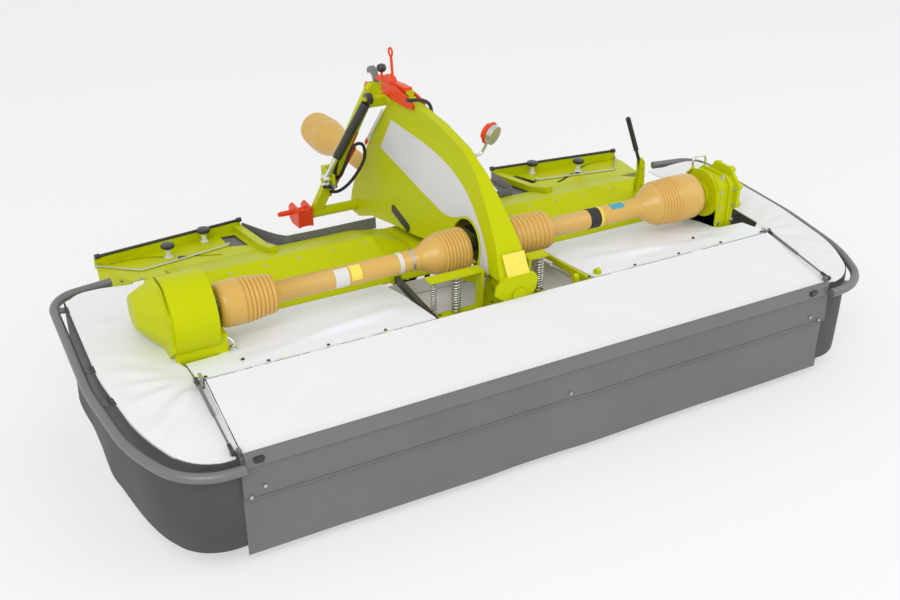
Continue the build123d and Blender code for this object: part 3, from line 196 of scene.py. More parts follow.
def makeGrainGroup():
    # fine relief: the orange peel of paint, the skin of cast metal or the grain of coated cloth
    group, source = startGroup("fineGrain", "ShaderNodeTree", [
        ("Scale", "NodeSocketFloat", 300.0),
        ("Coarse Scale", "NodeSocketFloat", 12.0),
        ("Coarse Share", "NodeSocketFloat", 0.3),
    ], [("Height", "NodeSocketFloat")])
    place = addNode(group, "ShaderNodeTexCoord").outputs["Object"]
    fine, coarse = [addNode(group, "ShaderNodeTexNoise",
                            {"Vector": place, "Scale": source[label], "Detail": detail})
                    for label, detail in (("Scale", 2), ("Coarse Scale", 3))]
    mix = addNode(group, "ShaderNodeMix",
                  {"Factor": source["Coarse Share"], "A": fine.outputs["Fac"], "B": coarse.outputs["Fac"]},
                  data_type="FLOAT")
    addNode(group, "NodeGroupOutput", {"Height": mix.outputs["Result"]})
    return group


def makeWeaveGroup():
    # the two crossing yarns that show through a coated cloth
    group, source = startGroup("wovenRelief", "ShaderNodeTree", [("Pitch", "NodeSocketFloat", 400.0)],
                               [("Height", "NodeSocketFloat")])
    place = addNode(group, "ShaderNodeTexCoord").outputs["Object"]
    warp, weft = [addNode(group, "ShaderNodeTexWave",
                          {"Vector": place, "Scale": source["Pitch"], "Distortion": 0.4}, wave_type="BANDS",
                          bands_direction=direction) for direction in ("X", "Y")]
    product = addMath(group, "MULTIPLY", warp.outputs["Fac"], weft.outputs["Fac"])
    addNode(group, "NodeGroupOutput", {"Height": product})
    return group


dustGroup = makeDustGroup()
grainGroup = makeGrainGroup()
weaveGroup = makeWeaveGroup()

# every finish on the machine: base colour, second colour of its slow variation, share of that colour,
# roughness, grain scale, bump strength and dust amount, and what differs from the plain finish: metallic,
# coat, gloss, pitch of the weave and radius of the edges
plainFinish = {"metallic": 0, "coat": 0, "gloss": 0.5, "weave": 0, "edge": 0}
finishes = {
    "limePaint": dict(color=(0.50, 0.555, 0.0010), second=(0.54, 0.59, 0.0015), spread=0.5, rough=0.36,
                      grain=420, bump=0.02, dust=0.008, gloss=0.10, edge=0.004),
    "silverStripe": dict(color=(0.66, 0.66, 0.70), second=(0.72, 0.72, 0.76), spread=0.6, rough=0.32,
                         grain=600, bump=0.01, dust=0.06, coat=0.3),
    "yellowPlate": dict(color=(0.84, 0.70, 0.07), second=(0.88, 0.76, 0.12), spread=0.5, rough=0.4, grain=500,
                        bump=0.01, dust=0.1, coat=0.2),
    "whiteTarp": dict(color=(0.78, 0.78, 0.785), second=(0.72, 0.725, 0.73), spread=0.35, rough=0.46,
                      grain=90, bump=0.06, dust=0.04, coat=0.05, weave=330),
    # the deck tarps are the white tarp again, painted paler and bluer: painted light with a blue-grey painted
    # shade tint, which also cancels the amber light the guard throws on them
    "deckClothShadeTint": dict(color=(0.86, 0.895, 0.96), second=(0.81, 0.84, 0.89), spread=0.35, rough=0.46, grain=90,
                      bump=0.06, dust=0.01, coat=0.05, weave=330),
    "skirtCloth": dict(color=(0.130, 0.127, 0.125), second=(0.165, 0.162, 0.158), spread=0.8, rough=0.55,
                       grain=70, bump=0.1, dust=0.08, coat=0.05, weave=330),
    # the side skirts are the skirt cloth again, painted darker: painted shade, and its wide slow variation
    # paints uneven shade along them
    "sideClothInShade": dict(color=(0.048, 0.049, 0.051), second=(0.110, 0.109, 0.107), spread=0.9, rough=0.62,
                      grain=70, bump=0.1, dust=0.02, gloss=0.25, weave=330),
    "greyRubber": dict(color=(0.13, 0.13, 0.145), second=(0.17, 0.17, 0.18), spread=0.6, rough=0.6, grain=160,
                       bump=0.12, dust=0.35),
    "tubeGrey": dict(color=(0.15, 0.155, 0.15), second=(0.19, 0.195, 0.19), spread=0.5, rough=0.4, grain=350,
                     bump=0.03, dust=0.12, metallic=0.2, coat=0.15, edge=0.003),
    "blackPaint": dict(color=(0.014, 0.014, 0.016), second=(0.03, 0.03, 0.032), spread=0.5, rough=0.36,
                       grain=300, bump=0.04, dust=0.1, coat=0.2, edge=0.002),
    "blackRubber": dict(color=(0.012, 0.012, 0.012), second=(0.025, 0.025, 0.025), spread=0.5, rough=0.6,
                        grain=240, bump=0.1, dust=0.2),
    "amberPlastic": dict(color=(0.63, 0.375, 0.072), second=(0.70, 0.44, 0.12), spread=0.7, rough=0.30,
                         grain=160, bump=0.03, dust=0.05, coat=0.1, gloss=0.45),
    "signalRed": dict(color=(0.80, 0.060, 0.010), second=(0.84, 0.085, 0.014), spread=0.5, rough=0.36,
                      grain=380, bump=0.03, dust=0.015, gloss=0.2, edge=0.002),
    "bareSteel": dict(color=(0.42, 0.42, 0.43), second=(0.30, 0.29, 0.28), spread=0.8, rough=0.38, grain=260,
                      bump=0.08, dust=0.25, metallic=0.85, edge=0.002),
    "zincSteel": dict(color=(0.62, 0.62, 0.60), second=(0.50, 0.50, 0.47), spread=0.8, rough=0.3, grain=320,
                      bump=0.05, dust=0.12, metallic=0.9, edge=0.001),
    "chromeRod": dict(color=(0.78, 0.78, 0.80), second=(0.70, 0.70, 0.72), spread=0.4, rough=0.12, grain=500,
                      bump=0.01, dust=0.05, metallic=1),
    "whitePlastic": dict(color=(0.72, 0.72, 0.70), second=(0.62, 0.62, 0.58), spread=0.5, rough=0.4,
                         grain=220, bump=0.03, dust=0.15, coat=0.1),
    "tealBand": dict(color=(0.03, 0.32, 0.42), second=(0.05, 0.38, 0.48), spread=0.4, rough=0.35, grain=300,
                     bump=0.02, dust=0.1, coat=0.2),
    "yellowBand": dict(color=(0.80, 0.60, 0.03), second=(0.84, 0.66, 0.06), spread=0.4, rough=0.35, grain=300,
                       bump=0.02, dust=0.1, coat=0.2),
}
# the same in every finish: size of its slow variation, how high the dust reaches and how dull it makes
allFinishes = {
    "coatRoughness": 0.15,
    "slowNoise": {"Scale": 2.4, "Detail": 4},
    "dustPatches": {"Scale": 5.0, "Top": 0.75},
    "duller": 0.45,
    "dullest": 0.95,
    "bumpDepth": 0.002,
    "edgeSamples": 4,
}


def makeFinish(name, look):
    look = {**plainFinish, **allFinishes, **look}
    material = bpy.data.materials.new(name)
    material.use_nodes = True
    tree = material.node_tree
    place = addNode(tree, "ShaderNodeTexCoord").outputs["Object"]
    slow = addNode(tree, "ShaderNodeTexNoise", {"Vector": place, **look["slowNoise"]})
    share = addMath(tree, "MULTIPLY", slow.outputs["Fac"], look["spread"])
    blend = addNode(tree, "ShaderNodeMix",
                    {"Factor": share, "A": (*look["color"], 1), "B": (*look["second"], 1)}, data_type="RGBA")
    dust = addNode(tree, "ShaderNodeGroup",
                   {"Color": blend.outputs["Result"], "Amount": look["dust"], **look["dustPatches"]},
                   node_tree=dustGroup)
    rough = addNode(tree, "ShaderNodeMapRange", {
        "Value": dust.outputs["Mask"],
        "To Min": look["rough"],
        "To Max": min(look["rough"] + look["duller"], look["dullest"]),
    })
    height = addNode(tree, "ShaderNodeGroup", {"Scale": look["grain"]},
                     node_tree=grainGroup).outputs["Height"]
    if look["weave"]:
        weave = addNode(tree, "ShaderNodeGroup", {"Pitch": look["weave"]}, node_tree=weaveGroup)
        height = addMath(tree, "ADD", height, weave.outputs["Height"])
    bump = addNode(tree, "ShaderNodeBump",
                   {"Strength": look["bump"], "Distance": look["bumpDepth"], "Height": height})
    if look["edge"]:
        soft = addNode(tree, "ShaderNodeBevel", {"Radius": look["edge"]}, samples=look["edgeSamples"])
        feed(tree, bump, {"Normal": soft.outputs["Normal"]})
    feed(tree, tree.nodes["Principled BSDF"], {
        "Base Color": dust.outputs["Color"],
        "Metallic": look["metallic"],
        "Roughness": rough.outputs[0],
        "Specular IOR Level": look["gloss"],
        "Coat Weight": look["coat"],
        "Coat Roughness": look["coatRoughness"],
        "Normal": bump.outputs["Normal"],
    })
    return material


materials = {name: makeFinish(name, look) for name, look in finishes.items()}

# finishes of the nodes that keep their own shape
nodeFinishes = {
    "limePaint": ["deck_frame", "hood", "swath_plate_left", "swath_plate_right", "board_posts",
                  "drive_housing", "angle_gearbox", "boom_pivot", "boom", "headstock_frame", "hand_lever",
                  "stand_sleeves", "swath_board_left", "swath_board_right"],
    "bareSteel": ["cutterbar", "skids", "stand_left", "stand_right", "input_shaft"]
                 + ["disc_" + str(i) for i in range(1, 9)],
    "blackPaint": ["rotor", "centre_gearbox", "swath_clamps", "tilt_barrel", "strut_tube_left",
                   "strut_tube_right"],
    "tubeGrey": ["hoop_left", "hoop_right", "cover_frame", "top_hook"],
    "whiteTarp": ["cover_tarp", "side_tarp_left", "side_tarp_right", "well_floor"],
    "deckClothShadeTint": ["deck_tarps"],
    "skirtCloth": ["side_skirt_left", "side_skirt_right", "front_curtain"],
    "greyRubber": ["rear_flap"],
    "amberPlastic": ["input_guard", "cross_shaft_left", "cross_shaft_right"],
    "signalRed": ["hitch_left", "hitch_right", "top_hitch", "latch"],
    "zincSteel": ["gauge", "support_springs", "strut_posts"],
    "chromeRod": ["tilt_ram", "strut_rod_left", "strut_rod_right"],
}
for finishName, names in nodeFinishes.items():
    for name in names:
        mesh = cadNodes[name].data
        mesh.materials.clear()
        mesh.materials.append(materials[finishName])
print("finishes ready")


# meshes are gathered in a bmesh in drawn places, then made one piece with softened edges
def ringAround(centre, across, up, radius, sides):
    return [centre + across * radius * math.cos(2 * math.pi * i / sides)
            + up * radius * math.sin(2 * math.pi * i / sides) for i in range(sides)]


def addFaces(bm, rings, closed=True, capped=True):
    made = [[bm.verts.new(point) for point in ring] for ring in rings]
    count = len(made[0])
    last = count if closed else count - 1
    for low, high in zip(made[:-1], made[1:]):
        for i in range(last):
            j = (i + 1) % count
            bm.faces.new((low[i], low[j], high[j], high[i]))
    if capped:
        bm.faces.new(made[0][::-1])
        bm.faces.new(made[-1])
    return made


def addPrism(bm, outline, axis, low, high):
    # an outline swept along x, y or z; the outline's pairs are the two other axes in order
    def spot(pair, level):
        u, v = pair
        return {"x": at(level, u, v), "y": at(u, level, v), "z": at(u, v, level)}[axis]
    addFaces(bm, [[spot(pair, low) for pair in outline], [spot(pair, high) for pair in outline]])


def addBlock(bm, x0, x1, y0, y1, z0, z1):
    addPrism(bm, [(x0, y0), (x1, y0), (x1, y1), (x0, y1)], "z", z0, z1)


def crossAxes(direction):
    direction = direction.normalized()
    helper = Vector((0, 0, 1)) if abs(direction.z) < 0.9 else Vector((1, 0, 0))
    across = direction.cross(helper).normalized()
    return across, direction.cross(across).normalized()


def addRod(bm, start, end, radius, sides=24):
    startPoint = at(*start)
    endPoint = at(*end)
    across, up = crossAxes(endPoint - startPoint)
    addFaces(bm, [ringAround(centre, across, up, radius, sides) for centre in (startPoint, endPoint)])


def addStretch(bm, start, end, stretch):
    # a rod along part of the way: where it starts and ends as shares of the way, radius, sides
    first, last, radius, sides = stretch
    addRod(bm, start.lerp(end, first), start.lerp(end, last), radius, sides)


def addBar(bm, start, end, width, depth, side=(0, 0, 1)):
    startPoint = at(*start)
    endPoint = at(*end)
    direction = (endPoint - startPoint).normalized()
    across = direction.cross(Vector(side)).normalized()
    up = across.cross(direction).normalized()
    corners = [(-1, -1), (1, -1), (1, 1), (-1, 1)]
    rings = []
    for centre in (startPoint, endPoint):
        rings.append([centre + across * a * width / 2 + up * b * depth / 2 for a, b in corners])
    addFaces(bm, rings)


def addLathe(bm, profile, centre, axis, sides=48):
    # profile pairs are (distance along the axis, radius); both ends are closed
    base = at(*centre)
    direction = Vector(axis).normalized()
    across, up = crossAxes(direction)
    addFaces(bm, [ringAround(base + direction * along, across, up, radius, sides)
                  for along, radius in profile])


def addTube(bm, points, radius, sides=16):
    # a round tube along points that are already smooth
    places = [at(*point) for point in points]
    across, up = crossAxes(places[1] - places[0])
    rings = []
    for i, place in enumerate(places):
        before = places[max(i - 1, 0)]
        after = places[min(i + 1, len(places) - 1)]
        direction = (after - before).normalized()
        across = (across - direction * across.dot(direction)).normalized()
        up = direction.cross(across)
        rings.append(ringAround(place, across, up, radius, sides))
    addFaces(bm, rings)


def smoothPath(points, steps=8):
    # a line through the points with even bends
    places = [Vector(point) for point in points]
    places = [places[0] * 2 - places[1]] + places + [places[-1] * 2 - places[-2]]
    line = []
    for i in range(1, len(places) - 2):
        a, b, c, d = places[i - 1:i + 3]
        for k in range(steps):
            t = k / steps
            line.append(0.5 * ((2 * b) + (c - a) * t + (2 * a - 5 * b + 4 * c - d) * t * t
                               + (3 * b - a - 3 * c + d) * t ** 3))
    line.append(places[-2])
    return line


def roundedPath(points, bends, step):
    # straight runs joined by arcs of the given radii, cut into steps of about one length
    corners = [Vector(point) for point in points]
    line = [corners[0]]
    for i in range(1, len(corners) - 1):
        before = (corners[i - 1] - corners[i]).normalized()
        after = (corners[i + 1] - corners[i]).normalized()
        half = before.angle(after) / 2
        reach = bends[i - 1] / math.tan(half)
        centre = corners[i] + (before + after).normalized() * bends[i - 1] / math.sin(half)
        start = corners[i] + before * reach
        end = corners[i] + after * reach
        first = math.atan2(start.y - centre.y, start.x - centre.x)
        turn = (math.atan2(end.y - centre.y, end.x - centre.x) - first + math.pi) % (2 * math.pi) - math.pi
        count = max(int(abs(turn) * bends[i - 1] / step), 3)
        for k in range(count + 1):
            angle = first + turn * k / count
            line.append(Vector((centre.x + bends[i - 1] * math.cos(angle),
                                centre.y + bends[i - 1] * math.sin(angle))))
    line.append(corners[-1])
    even = [line[0]]
    for point in line[1:]:
        run = point - even[-1]
        pieces = max(int(run.length / step), 1)
        base = even[-1]
        for k in range(1, pieces + 1):
            even.append(base + run * k / pieces)
    return even


# angles in degrees: what counts as an edge to soften, and what stays sharp in the shading
edgeSettings = {"segments": 2, "softFrom": 32, "sharpFrom": 36, "sharpCloth": 50}


def addObject(name, bm, finish):
    mesh = bpy.data.meshes.new(name)
    bm.to_mesh(mesh)
    bm.free()
    mesh.materials.append(materials[finish])
    mesh.shade_smooth()
    piece = bpy.data.objects.new(name, mesh)
    scene.collection.objects.link(piece)
    return piece


def bakeModifiers(piece):
    bpy.context.view_layer.update()
    graph = bpy.context.evaluated_depsgraph_get()
    finished = bpy.data.meshes.new_from_object(piece.evaluated_get(graph), preserve_all_data_layers=True,
                                               depsgraph=graph)
    piece.modifiers.clear()
    old = piece.data
    piece.data = finished
    finished.name = old.name
    bpy.data.meshes.remove(old)


def hangOn(piece, body, replaced):
    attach(piece, body)
    if replaced:
        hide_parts(*replaced)


def makePiece(name, bm, finish, body, bevel=0.0, replaced=()):
    bmesh.ops.recalc_face_normals(bm, faces=bm.faces)
    piece = addObject(name, bm, finish)
    if bevel:
        softened = piece.modifiers.new("edges", "BEVEL")
        softened.width = bevel
        softened.segments = edgeSettings["segments"]
        softened.limit_method = "ANGLE"
        softened.angle_limit = math.radians(edgeSettings["softFrom"])
        softened.harden_normals = True
        bakeModifiers(piece)
    else:
        piece.data.set_sharp_from_angle(angle=math.radians(edgeSettings["sharpFrom"]))
    hangOn(piece, body, replaced)
    return piece


# cloth panels: a grid of points with tension folds, given thickness towards the inside
def foldHeight(u, v, folds):
    # each fold is (start u, start v, end u, end v, height, half-width)
    total = 0.0
    for u0, v0, u1, v1, height, spread in folds:
        run = Vector((u1 - u0, v1 - v0))
        length = run.length
        offset = Vector((u - u0, v - v0))
        share = offset.dot(run) / (length * length)
        if -0.2 < share < 1.2:
            near = max(0.0, min(1.0, share))
            distance = (offset - run * near).length
            taper = math.sin(math.pi * max(0.02, min(0.98, share * 0.9 + 0.08))) ** 0.5
            total += height * taper * math.exp(-(distance / spread) ** 2)
    return total


def slowNoise(x, y, z, scale, seed):
    return noise.fractal(Vector((x * scale + seed, y * scale - seed, z * scale)), 0.9, 2.0, 3,
                         noise_basis="PERLIN_ORIGINAL")


def makeSheet(name, grid, finish, body, thickness, replaced,
              flip=False):
    bm = bmesh.new()
    rows = [[bm.verts.new(at(*point)) for point in row] for row in grid]
    for low, high in zip(rows[:-1], rows[1:]):
        for i in range(len(low) - 1):
            corners = (low[i], low[i + 1], high[i + 1], high[i])
            bm.faces.new(corners[::-1] if flip else corners)
    piece = addObject(name, bm, finish)
    wall = piece.modifiers.new("wall", "SOLIDIFY")
    wall.thickness = thickness
    wall.offset = -1
    bakeModifiers(piece)
    piece.data.set_sharp_from_angle(angle=math.radians(edgeSettings["sharpCloth"]))
    hangOn(piece, body, replaced)
    return piece


def spread(low, high, count):
    return [low + (high - low) * i / (count - 1) for i in range(count)]


# front cover: white panel from the beam up to the hinge, and the grey curtain in front
coverSettings = {
    "halfWidth": 1.388,
    "frontY": -0.004,
    "frontZ": 0.4905,
    "beamRearY": 0.034,
    "hingeY": 0.396,
    "hingeZ": 0.5815,
    "length": 0.413,
    "slack": 0.003,
    # the hinge edge is cut back in front of the boom's foot
    "notch": 0.014,
    "notchHalf": 0.105,
    "notchEase": 0.030,
    "thickness": 0.004,
    "sag": 0.010,
    "armPitch": 0.423,
    "columns": 220,
    "rows": 34,
    "folds": [
        (-1.36, 0.02, -1.05, 0.30, 0.006, 0.035),
        (-1.36, 0.10, -1.18, 0.36, 0.005, 0.030),
        (1.36, 0.03, 1.10, 0.30, 0.006, 0.035),
        (-0.60, 0.36, -0.35, 0.10, 0.003, 0.04),
        (0.20, 0.34, 0.52, 0.12, 0.003, 0.05),
        (0.80, 0.36, 0.98, 0.08, 0.003, 0.04),
    ],
}


def makeCoverTarp(s):
    # between the cover's arms the cloth sags a little
    grid = []
    for v in spread(0, 1, s["rows"]):
        row = []
        for x in spread(-s["halfWidth"], s["halfWidth"], s["columns"]):
            ease = min(1.0, max(0.0, (s["notchHalf"] + s["notchEase"] - abs(x)) / s["notchEase"]))
            y = s["frontY"] + (s["hingeY"] - s["notch"] * ease - s["frontY"]) * v
            rise = max(0.0, (y - s["beamRearY"]) / (s["hingeY"] - s["beamRearY"]))
            z = s["frontZ"] + (s["hingeZ"] - s["frontZ"]) * rise
            between = 0.5 - 0.5 * math.cos(2 * math.pi * (x / s["armPitch"]))
            slack = math.sin(math.pi * min(1.0, rise)) if y > s["beamRearY"] else 0
            z -= s["sag"] * between * slack * 0.5
            z += foldHeight(x, y, s["folds"]) * slack + s["slack"] * slack * slowNoise(x, y, 0, 2.2, 3.1)
            row.append((x, y, z))
        grid.append(row)
    return makeSheet("coverTarp", grid, "whiteTarp", "front_cover", s["thickness"],
                     replaced=["cover_tarp"])


makeCoverTarp(coverSettings)

curtainSettings = {
    "halfWidth": 1.406,
    "topZ": 0.486,
    "bottomZ": 0.042,
    "bandZ": 0.300,
    "faceY": -0.008,
    "bandOut": 0.007,
    "hemRadius": 0.0032,
    "beamFace": (-0.0205, -0.009, 0.436, 0.4885),
    "thickness": 0.003,
    "wave": 0.010,
    "ripple": 0.002,
    "ripplesAlong": 9.0,
    "crumple": 0.0012,
    "deepest": -0.004,
    "clothOut": 0.004,
    "beamEnd": 0.014,
    "columns": 240,
    "rows": 26,
}


def curtainPoint(s, x, v, faceY):
    # the cloth moves more the lower it hangs
    drop = v ** 1.4
    z = s["topZ"] + (s["bottomZ"] - s["topZ"]) * v
    push = s["wave"] * drop * (slowNoise(x, 0, v * 0.3, 1.3, 7.7) - 0.15)
    ripple = s["ripple"] * drop * math.sin(x * s["ripplesAlong"]) + s["crumple"] * slowNoise(x, z, 0, 6, 2.2)
    return (x, faceY - max(s["deepest"], push + ripple), z)


def makeCurtain(s):
    xs = spread(-s["halfWidth"], s["halfWidth"], s["columns"])
    grid = [[curtainPoint(s, x, v, s["faceY"] + s["clothOut"]) for x in xs] for v in spread(0, 1, s["rows"])]
    makeSheet("frontCurtain", grid, "skirtCloth", "front_cover", s["thickness"],
              replaced=["front_curtain"], flip=True)
    share = (s["topZ"] - s["bandZ"]) / (s["topZ"] - s["bottomZ"])
    band = [[curtainPoint(s, x, v, s["faceY"] - s["bandOut"] * v / share) for x in xs]
            for v in spread(0, share, s["rows"] // 2)]
    makeSheet("curtainBand", band, "skirtCloth", "front_cover", s["thickness"],
              replaced=[], flip=True)
    bm = bmesh.new()
    addTube(bm, [Vector((x, y - 0.002, z)) for x, y, z in band[-1][::4] + [band[-1][-1]]], s["hemRadius"], 10)
    makePiece("curtainHem", bm, "tubeGrey", "front_cover")
    y0, y1, z0, z1 = s["beamFace"]
    bm = bmesh.new()
    addBlock(bm, -s["halfWidth"] + s["beamEnd"], s["halfWidth"] - s["beamEnd"], y0, y1, z0, z1)
    makePiece("beamFace", bm, "tubeGrey", "front_cover", bevel=0.004)


makeCurtain(curtainSettings)
print("front cover ready")

# side skirts hang from the hoops, side tarps close the top between skirt and deck
skirtSettings = {
    "line": [(1.402, 0.0), (1.566, 0.0), (1.690, 0.262), (1.735, 0.655), (1.726, 1.300)],
    "bends": [0.215, 0.700, 1.000],
    "step": 0.018,
    "frontTopZ": 0.476,
    "slope": 0.072,
    "bottomZ": 0.086,
    "rise": 0.014,
    "riseEnd": 0.30,
    "thickness": 0.004,
    "rows": 26,
    "wave": 0.008,
    "ripple": 0.0035,
    "ripplesAlong": 11,
    "outwards": 0.002,
    "height": 0.53,
}


def rimHeight(s, y):
    # the skirt's upper edge: it follows the hoop and rises a little behind the front corner
    share = min(1.0, max(0.0, y / s["riseEnd"]))
    return s["frontTopZ"] + s["slope"] * y + s["rise"] * share * share * (3 - 2 * share)


def skirtGrid(s, side):
    path = roundedPath(s["line"], s["bends"], s["step"])
    normals = []
    for i, point in enumerate(path):
        run = path[min(i + 1, len(path) - 1)] - path[max(i - 1, 0)]
        normals.append(Vector((run.y, -run.x)).normalized())
    grid = []
    for v in spread(0, 1, s["rows"]):
        row = []
        for i, (point, normal) in enumerate(zip(path, normals)):
            top = rimHeight(s, point.y)
            z = top + (s["bottomZ"] - top) * v
            along = i * s["step"]
            push = s["wave"] * v ** 1.3 * slowNoise(along, side * 2.0, v * 0.4, 2.0, 5.0)
            push += s["ripple"] * math.sin(along * s["ripplesAlong"] + side) * v ** 2
            push += s["outwards"]
            row.append((side * (point.x + normal.x * push), point.y + normal.y * push, z))
        grid.append(row)
    return grid


def makeSkirts(s):
    for side, word in bothSides:
        grid = skirtGrid(s, side)
        makeSheet("sideSkirt." + word, grid, "sideClothInShade", "deck", s["thickness"],
                  replaced=["side_skirt_" + word], flip=side > 0)


makeSkirts(skirtSettings)

sideTarpSettings = {
    # the left line goes round the drive housing
    "rightLine": [(1.414, 0.004), (1.414, 0.030), (1.391, 0.034), (1.391, 0.398), (1.414, 0.402),
                  (1.414, 0.516), (1.480, 0.560), (1.480, 1.080), (1.450, 1.170), (1.388, 1.245),
                  (1.388, 1.322)],
    "leftLine": [(1.414, 0.004), (1.414, 0.030), (1.391, 0.034), (1.391, 0.398), (1.414, 0.402),
                 (1.414, 0.560), (1.430, 0.600), (1.430, 0.930), (1.480, 0.990), (1.480, 1.080),
                 (1.450, 1.170), (1.388, 1.245), (1.388, 1.322)],
    "outerLine": [(1.402, 0.0), (1.566, 0.0), (1.690, 0.262), (1.735, 0.655), (1.728, 1.316), (1.560, 1.322)],
    "outerBends": [0.215, 0.700, 1.000, 0.100],
    "frontY": 0.004,
    "firstX": 1.44,
    "rimInset": 0.006,
    "rimLift": 0.001,
    "slack": 0.004,
    "frontZ": 0.477,
    "hingeY": 0.402,
    "hingeZ": 0.538,
    "flatY": 0.760,
    "flatZ": 0.557,
    "rearY": 1.322,
    "rearZ": 0.573,
    "rows": 22,
    "thickness": 0.004,
    "flat": (1.55, 0.36),
    "folds": [
        (1.44, 0.49, 1.70, 0.56, 0.011, 0.017),
        (1.44, 0.47, 1.69, 0.43, 0.012, 0.017),
        (1.44, 0.45, 1.68, 0.32, -0.008, 0.020),
        (1.44, 0.43, 1.67, 0.21, 0.013, 0.018),
        (1.44, 0.41, 1.63, 0.10, 0.011, 0.020),
        (1.50, 0.56, 1.70, 0.68, 0.008, 0.028),
        (1.52, 0.70, 1.70, 0.82, 0.007, 0.035),
        (1.50, 1.00, 1.71, 1.05, 0.006, 0.035),
    ],
}


def tarpLevel(s, y):
    if y < s["hingeY"]:
        return s["frontZ"] + (s["hingeZ"] - s["frontZ"]) * max(0, y) / s["hingeY"]
    if y < s["flatY"]:
        return s["hingeZ"] + (s["flatZ"] - s["hingeZ"]) * (y - s["hingeY"]) / (s["flatY"] - s["hingeY"])
    return s["flatZ"] + (s["rearZ"] - s["flatZ"]) * (y - s["flatY"]) / (s["rearY"] - s["flatY"])


def innerX(line, y):
    # x at y on a line of (x, y) pairs, where two of them may share one y
    for (x0, y0), (x1, y1) in zip(line[:-1], line[1:]):
        if y0 <= y <= y1 and y1 > y0:
            return x0 + (x1 - x0) * (y - y0) / (y1 - y0)
    return line[-1][0]


def makeSideTarps(s, skirt):
    outer = roundedPath(s["outerLine"], s["outerBends"], skirt["step"])
    start = next(i for i, point in enumerate(outer) if point.x > s["firstX"])
    outer = outer[start:]
    for side, word in bothSides:
        grid = []
        for i, edge in enumerate(outer):
            share = i / (len(outer) - 1)
            innerY = s["frontY"] + (s["rearY"] - s["frontY"]) * share ** 1.15
            inner = Vector((innerX(s[word + "Line"], innerY), innerY))
            rim = Vector((edge.x - s["rimInset"], max(edge.y, s["frontY"])))
            row = []
            for u in spread(0, 1, s["rows"]):
                spot = inner + (rim - inner) * u
                level = tarpLevel(s, spot.y)
                rimLevel = rimHeight(skirt, rim.y) + s["rimLift"]
                z = level + (rimLevel - level) * u ** 3
                free = math.sin(math.pi * u) ** 0.7
                z += free * foldHeight(spot.x, spot.y, s["folds"])
                z += free * s["slack"] * slowNoise(spot.x, spot.y, side, 5, 1.5)
                row.append((side * spot.x, spot.y, z))
            grid.append(row)
        makeSheet("sideTarp." + word, grid, "whiteTarp", "deck", s["thickness"],
                  replaced=["side_tarp_" + word], flip=side > 0)


makeSideTarps(sideTarpSettings, skirtSettings)
print("side skirts and tarps ready")

# deck tarps between the hinge and the hood, the panel low under the boom and the flaps behind the hood
deckTarpSettings = {
    "innerX": 0.400,
    "outerLine": [(0.422, 1.386), (0.446, 1.388), (0.452, 1.410), (0.600, 1.410), (0.606, 1.256),
                  (0.948, 1.256)],
    "line": [(0.422, 0.5720), (0.432, 0.5695), (0.740, 0.5335), (0.948, 0.4915)],
    "thickness": 0.004,
    "columns": 70,
    "rows": 44,
    "sag": 0.004,
    "flat": (1.010, 0.544),
    "folds": [
        (0.44, 0.90, 0.86, 0.55, 0.005, 0.05),
        (0.50, 0.62, 1.16, 0.50, 0.011, 0.035),
        (0.52, 0.50, 1.20, 0.56, -0.006, 0.035),
        (1.18, 0.46, 0.95, 0.80, 0.004, 0.04),
    ],
}


def lineHeight(line, y):
    # height at y on a line of (y, height) pairs
    for (y0, z0), (y1, z1) in zip(line[:-1], line[1:]):
        if y <= y1:
            return z0 + (z1 - z0) * max(0.0, y - y0) / (y1 - y0)
    return line[-1][1]


def makeDeckTarps(s):
    for side, word in bothSides:
        grid = []
        front, rear = s["line"][0][0], s["line"][-1][0]
        for y in spread(front, rear, s["rows"]):
            row = []
            free = math.sin(math.pi * (y - front) / (rear - front))
            for x in spread(s["innerX"], lineHeight(s["outerLine"], y), s["columns"]):
                z = lineHeight(s["line"], y) + free * foldHeight(x, y, s["folds"])
                z += free * s["sag"] * slowNoise(side * x, y, 0.3, 3.0, 9.1)
                row.append((side * x, y, z))
            grid.append(row)
        makeSheet("deckTarp." + word, grid, "deckClothShadeTint", "deck", s["thickness"],
                  replaced=["deck_tarps"],
                  flip=side < 0)


makeDeckTarps(deckTarpSettings)

wellSettings = {"halfWidth": 0.399, "frontY": 0.4305, "rearY": 0.897, "z": 0.430, "thickness": 0.004,
                "columns": 60, "rows": 40, "sag": 0.006}


def makeWellFloor(s):
    grid = []
    for y in spread(s["frontY"], s["rearY"], s["rows"]):
        row = []
        for x in spread(-s["halfWidth"], s["halfWidth"], s["columns"]):
            free = math.cos(x / s["halfWidth"] * math.pi / 2) ** 0.5
            row.append((x, y, s["z"] - s["sag"] * free * abs(slowNoise(x, y, 0.8, 4.0, 4.4))))
        grid.append(row)
    makeSheet("wellFloor", grid, "whiteTarp", "deck", s["thickness"],
              replaced=["well_floor"])


makeWellFloor(wellSettings)

flapSettings = {
    "innerX": 0.326,
    "outerX": 0.729,
    "line": [(1.490, 0.5190), (1.546, 0.4985), (1.610, 0.4960), (1.672, 0.4720), (1.697, 0.3800),
             (1.706, 0.2500)],
    "thickness": 0.005,
    "columns": 40,
    "wave": 0.006,
    "held": 0.45,
}


def makeRearFlaps(s):
    path = smoothPath([(0, y, z) for y, z in s["line"]], 8)
    for side, word in bothSides:
        grid = []
        for i, point in enumerate(path):
            row = []
            hang = max(0.0, i / (len(path) - 1) - s["held"])
            for x in spread(s["innerX"], s["outerX"], s["columns"]):
                row.append((side * x, point.y + s["wave"] * hang * slowNoise(x, i * 0.02, side, 5.0, 6.6),
                            point.z))
            grid.append(row)
        makeSheet("rearFlap." + word, grid, "greyRubber", "deck", s["thickness"],
                  replaced=["rear_flap"], flip=side < 0)


makeRearFlaps(flapSettings)

